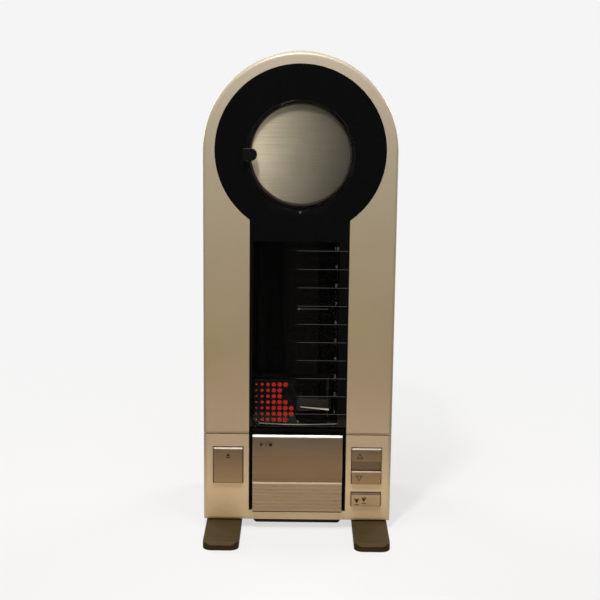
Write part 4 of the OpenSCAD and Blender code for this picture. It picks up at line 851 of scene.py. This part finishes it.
# Disc hold. A black cup with a finger tab and a dark brown rim, a hairline-brushed alloy disc on
# its floor, with painted shade that darkens it to the right and below and a painted brown shade
# round its border, and a clear cap pressed over the rim; behind it a nylon plunger carries the
# clamp with its rubber pad.
KNOB_Z = 210.5 * MM
DISC_HALF = 27.2 * MM
SHADE_BORDER_FROM, SHADE_BORDER_FULL = 26.45 * MM, 26.75 * MM
SHADE_LEFT, SHADE_RIGHT = -0.19, 0.81
SHADE_BELOW = 0.1
SHADE_FALLOFF = 0.08
CUP_EDGE = 0.2
RIM_INNER = 26.5 * MM
disc_alloy = surface("brushed_alloy", (0.30, 0.272, 0.202), (0.50, 0.457, 0.352), (0.40, 0.5), metallic=0.12,
                     grain_mm=0.5, stretch=(0.012, 1, 1), relief_um=4.0, blotch_mm=60.0, specular=0.1)
disc_tree = disc_alloy.node_tree
disc_place = disc_tree.nodes["place"].outputs["Object"]
across = disc_tree.nodes.new("ShaderNodeSeparateXYZ")
disc_tree.links.new(disc_place, across.inputs[0])
# Painted shade: the disc darkens to the right and below.
from_left = ranged(disc_tree, across.outputs["X"], (-DISC_HALF, DISC_HALF), (SHADE_LEFT, SHADE_RIGHT))
downward = (KNOB_Z + DISC_HALF / 3, KNOB_Z - DISC_HALF)
from_above = ranged(disc_tree, across.outputs["Z"], downward, (0.0, SHADE_BELOW))
disc_shade_share = worked_out(disc_tree, "POWER", SHADE_FALLOFF, worked_out(disc_tree, "ADD", from_left, from_above))
disc_shaded_tone = disc_tree.nodes.new("ShaderNodeMix")
disc_shaded_tone.data_type = "RGBA"
disc_shaded_tone.blend_type = "MULTIPLY"
disc_shaded_tone.inputs[0].default_value = 1.0
disc_tree.links.new(disc_tree.nodes["tone"].outputs[2], disc_shaded_tone.inputs[6])
disc_tree.links.new(disc_shade_share, disc_shaded_tone.inputs[7])
centred = disc_tree.nodes.new("ShaderNodeVectorMath")
centred.operation = "MULTIPLY_ADD"
centred.inputs[1].default_value = (1.0, 0.0, 1.0)
centred.inputs[2].default_value = (0.0, 0.0, -KNOB_Z)
disc_tree.links.new(disc_place, centred.inputs[0])
reach = disc_tree.nodes.new("ShaderNodeVectorMath")
reach.operation = "LENGTH"
disc_tree.links.new(centred.outputs["Vector"], reach.inputs[0])
# Painted shade: a brown ring round the disc's border.
border_shade_share = ranged(disc_tree, reach.outputs["Value"], (SHADE_BORDER_FROM, SHADE_BORDER_FULL))
disc_with_border_shade = toned(disc_tree, border_shade_share, disc_shaded_tone.outputs[2], (0.034, 0.0195, 0.013))
disc_tree.links.new(disc_with_border_shade, disc_tree.nodes["Principled BSDF"].inputs["Base Color"])

# The cap is clear to the lamps, with a little taken off, so that they reach the disc behind it.
clear = surface("clear_acrylic", (0.78, 0.77, 0.75), (0.82, 0.81, 0.79), (0.01, 0.03), grain_mm=3.0,
                relief_um=0.2, blotch_mm=50.0, specular=0.25)
clear_tree = clear.node_tree
clear_shader = clear_tree.nodes["Principled BSDF"]
clear_shader.inputs["Transmission Weight"].default_value = 1.0
clear_shader.inputs["IOR"].default_value = 1.15
clear_path = clear_tree.nodes.new("ShaderNodeLightPath")
open_way = clear_tree.nodes.new("ShaderNodeBsdfTransparent")
open_way.inputs["Color"].default_value = (0.95, 0.95, 0.94, 1.0)
lamps_pass = clear_tree.nodes.new("ShaderNodeMixShader")
clear_tree.links.new(clear_path.outputs["Is Shadow Ray"], lamps_pass.inputs[0])
clear_tree.links.new(clear_shader.outputs[0], lamps_pass.inputs[1])
clear_tree.links.new(open_way.outputs[0], lamps_pass.inputs[2])
clear_tree.links.new(lamps_pass.outputs[0], clear_tree.nodes["Material Output"].inputs["Surface"])

rim_brown = surface("dark_brown_rim", (0.030, 0.0175, 0.0125), (0.044, 0.0270, 0.0200), (0.30, 0.42),
                    grain_mm=0.8, relief_um=2.0, specular=0.2)
cup = eased("knob_body", "knob", black_gloss, CUP_EDGE)
cup.data.materials.append(rim_brown)
for face in cup.data.polygons:
    if math.hypot(face.center.x, face.center.z - KNOB_Z) > RIM_INNER:
        face.material_index = 1
dress(disc_alloy, "knob_disc")
dress(clear, "knob_lens")
dress(black_moulding, "clamp_housing")
dress(nylon, "clamp_carrier")
dress(charcoal, "clamp_disc")
dress(mat_rubber, "clamp_pad")
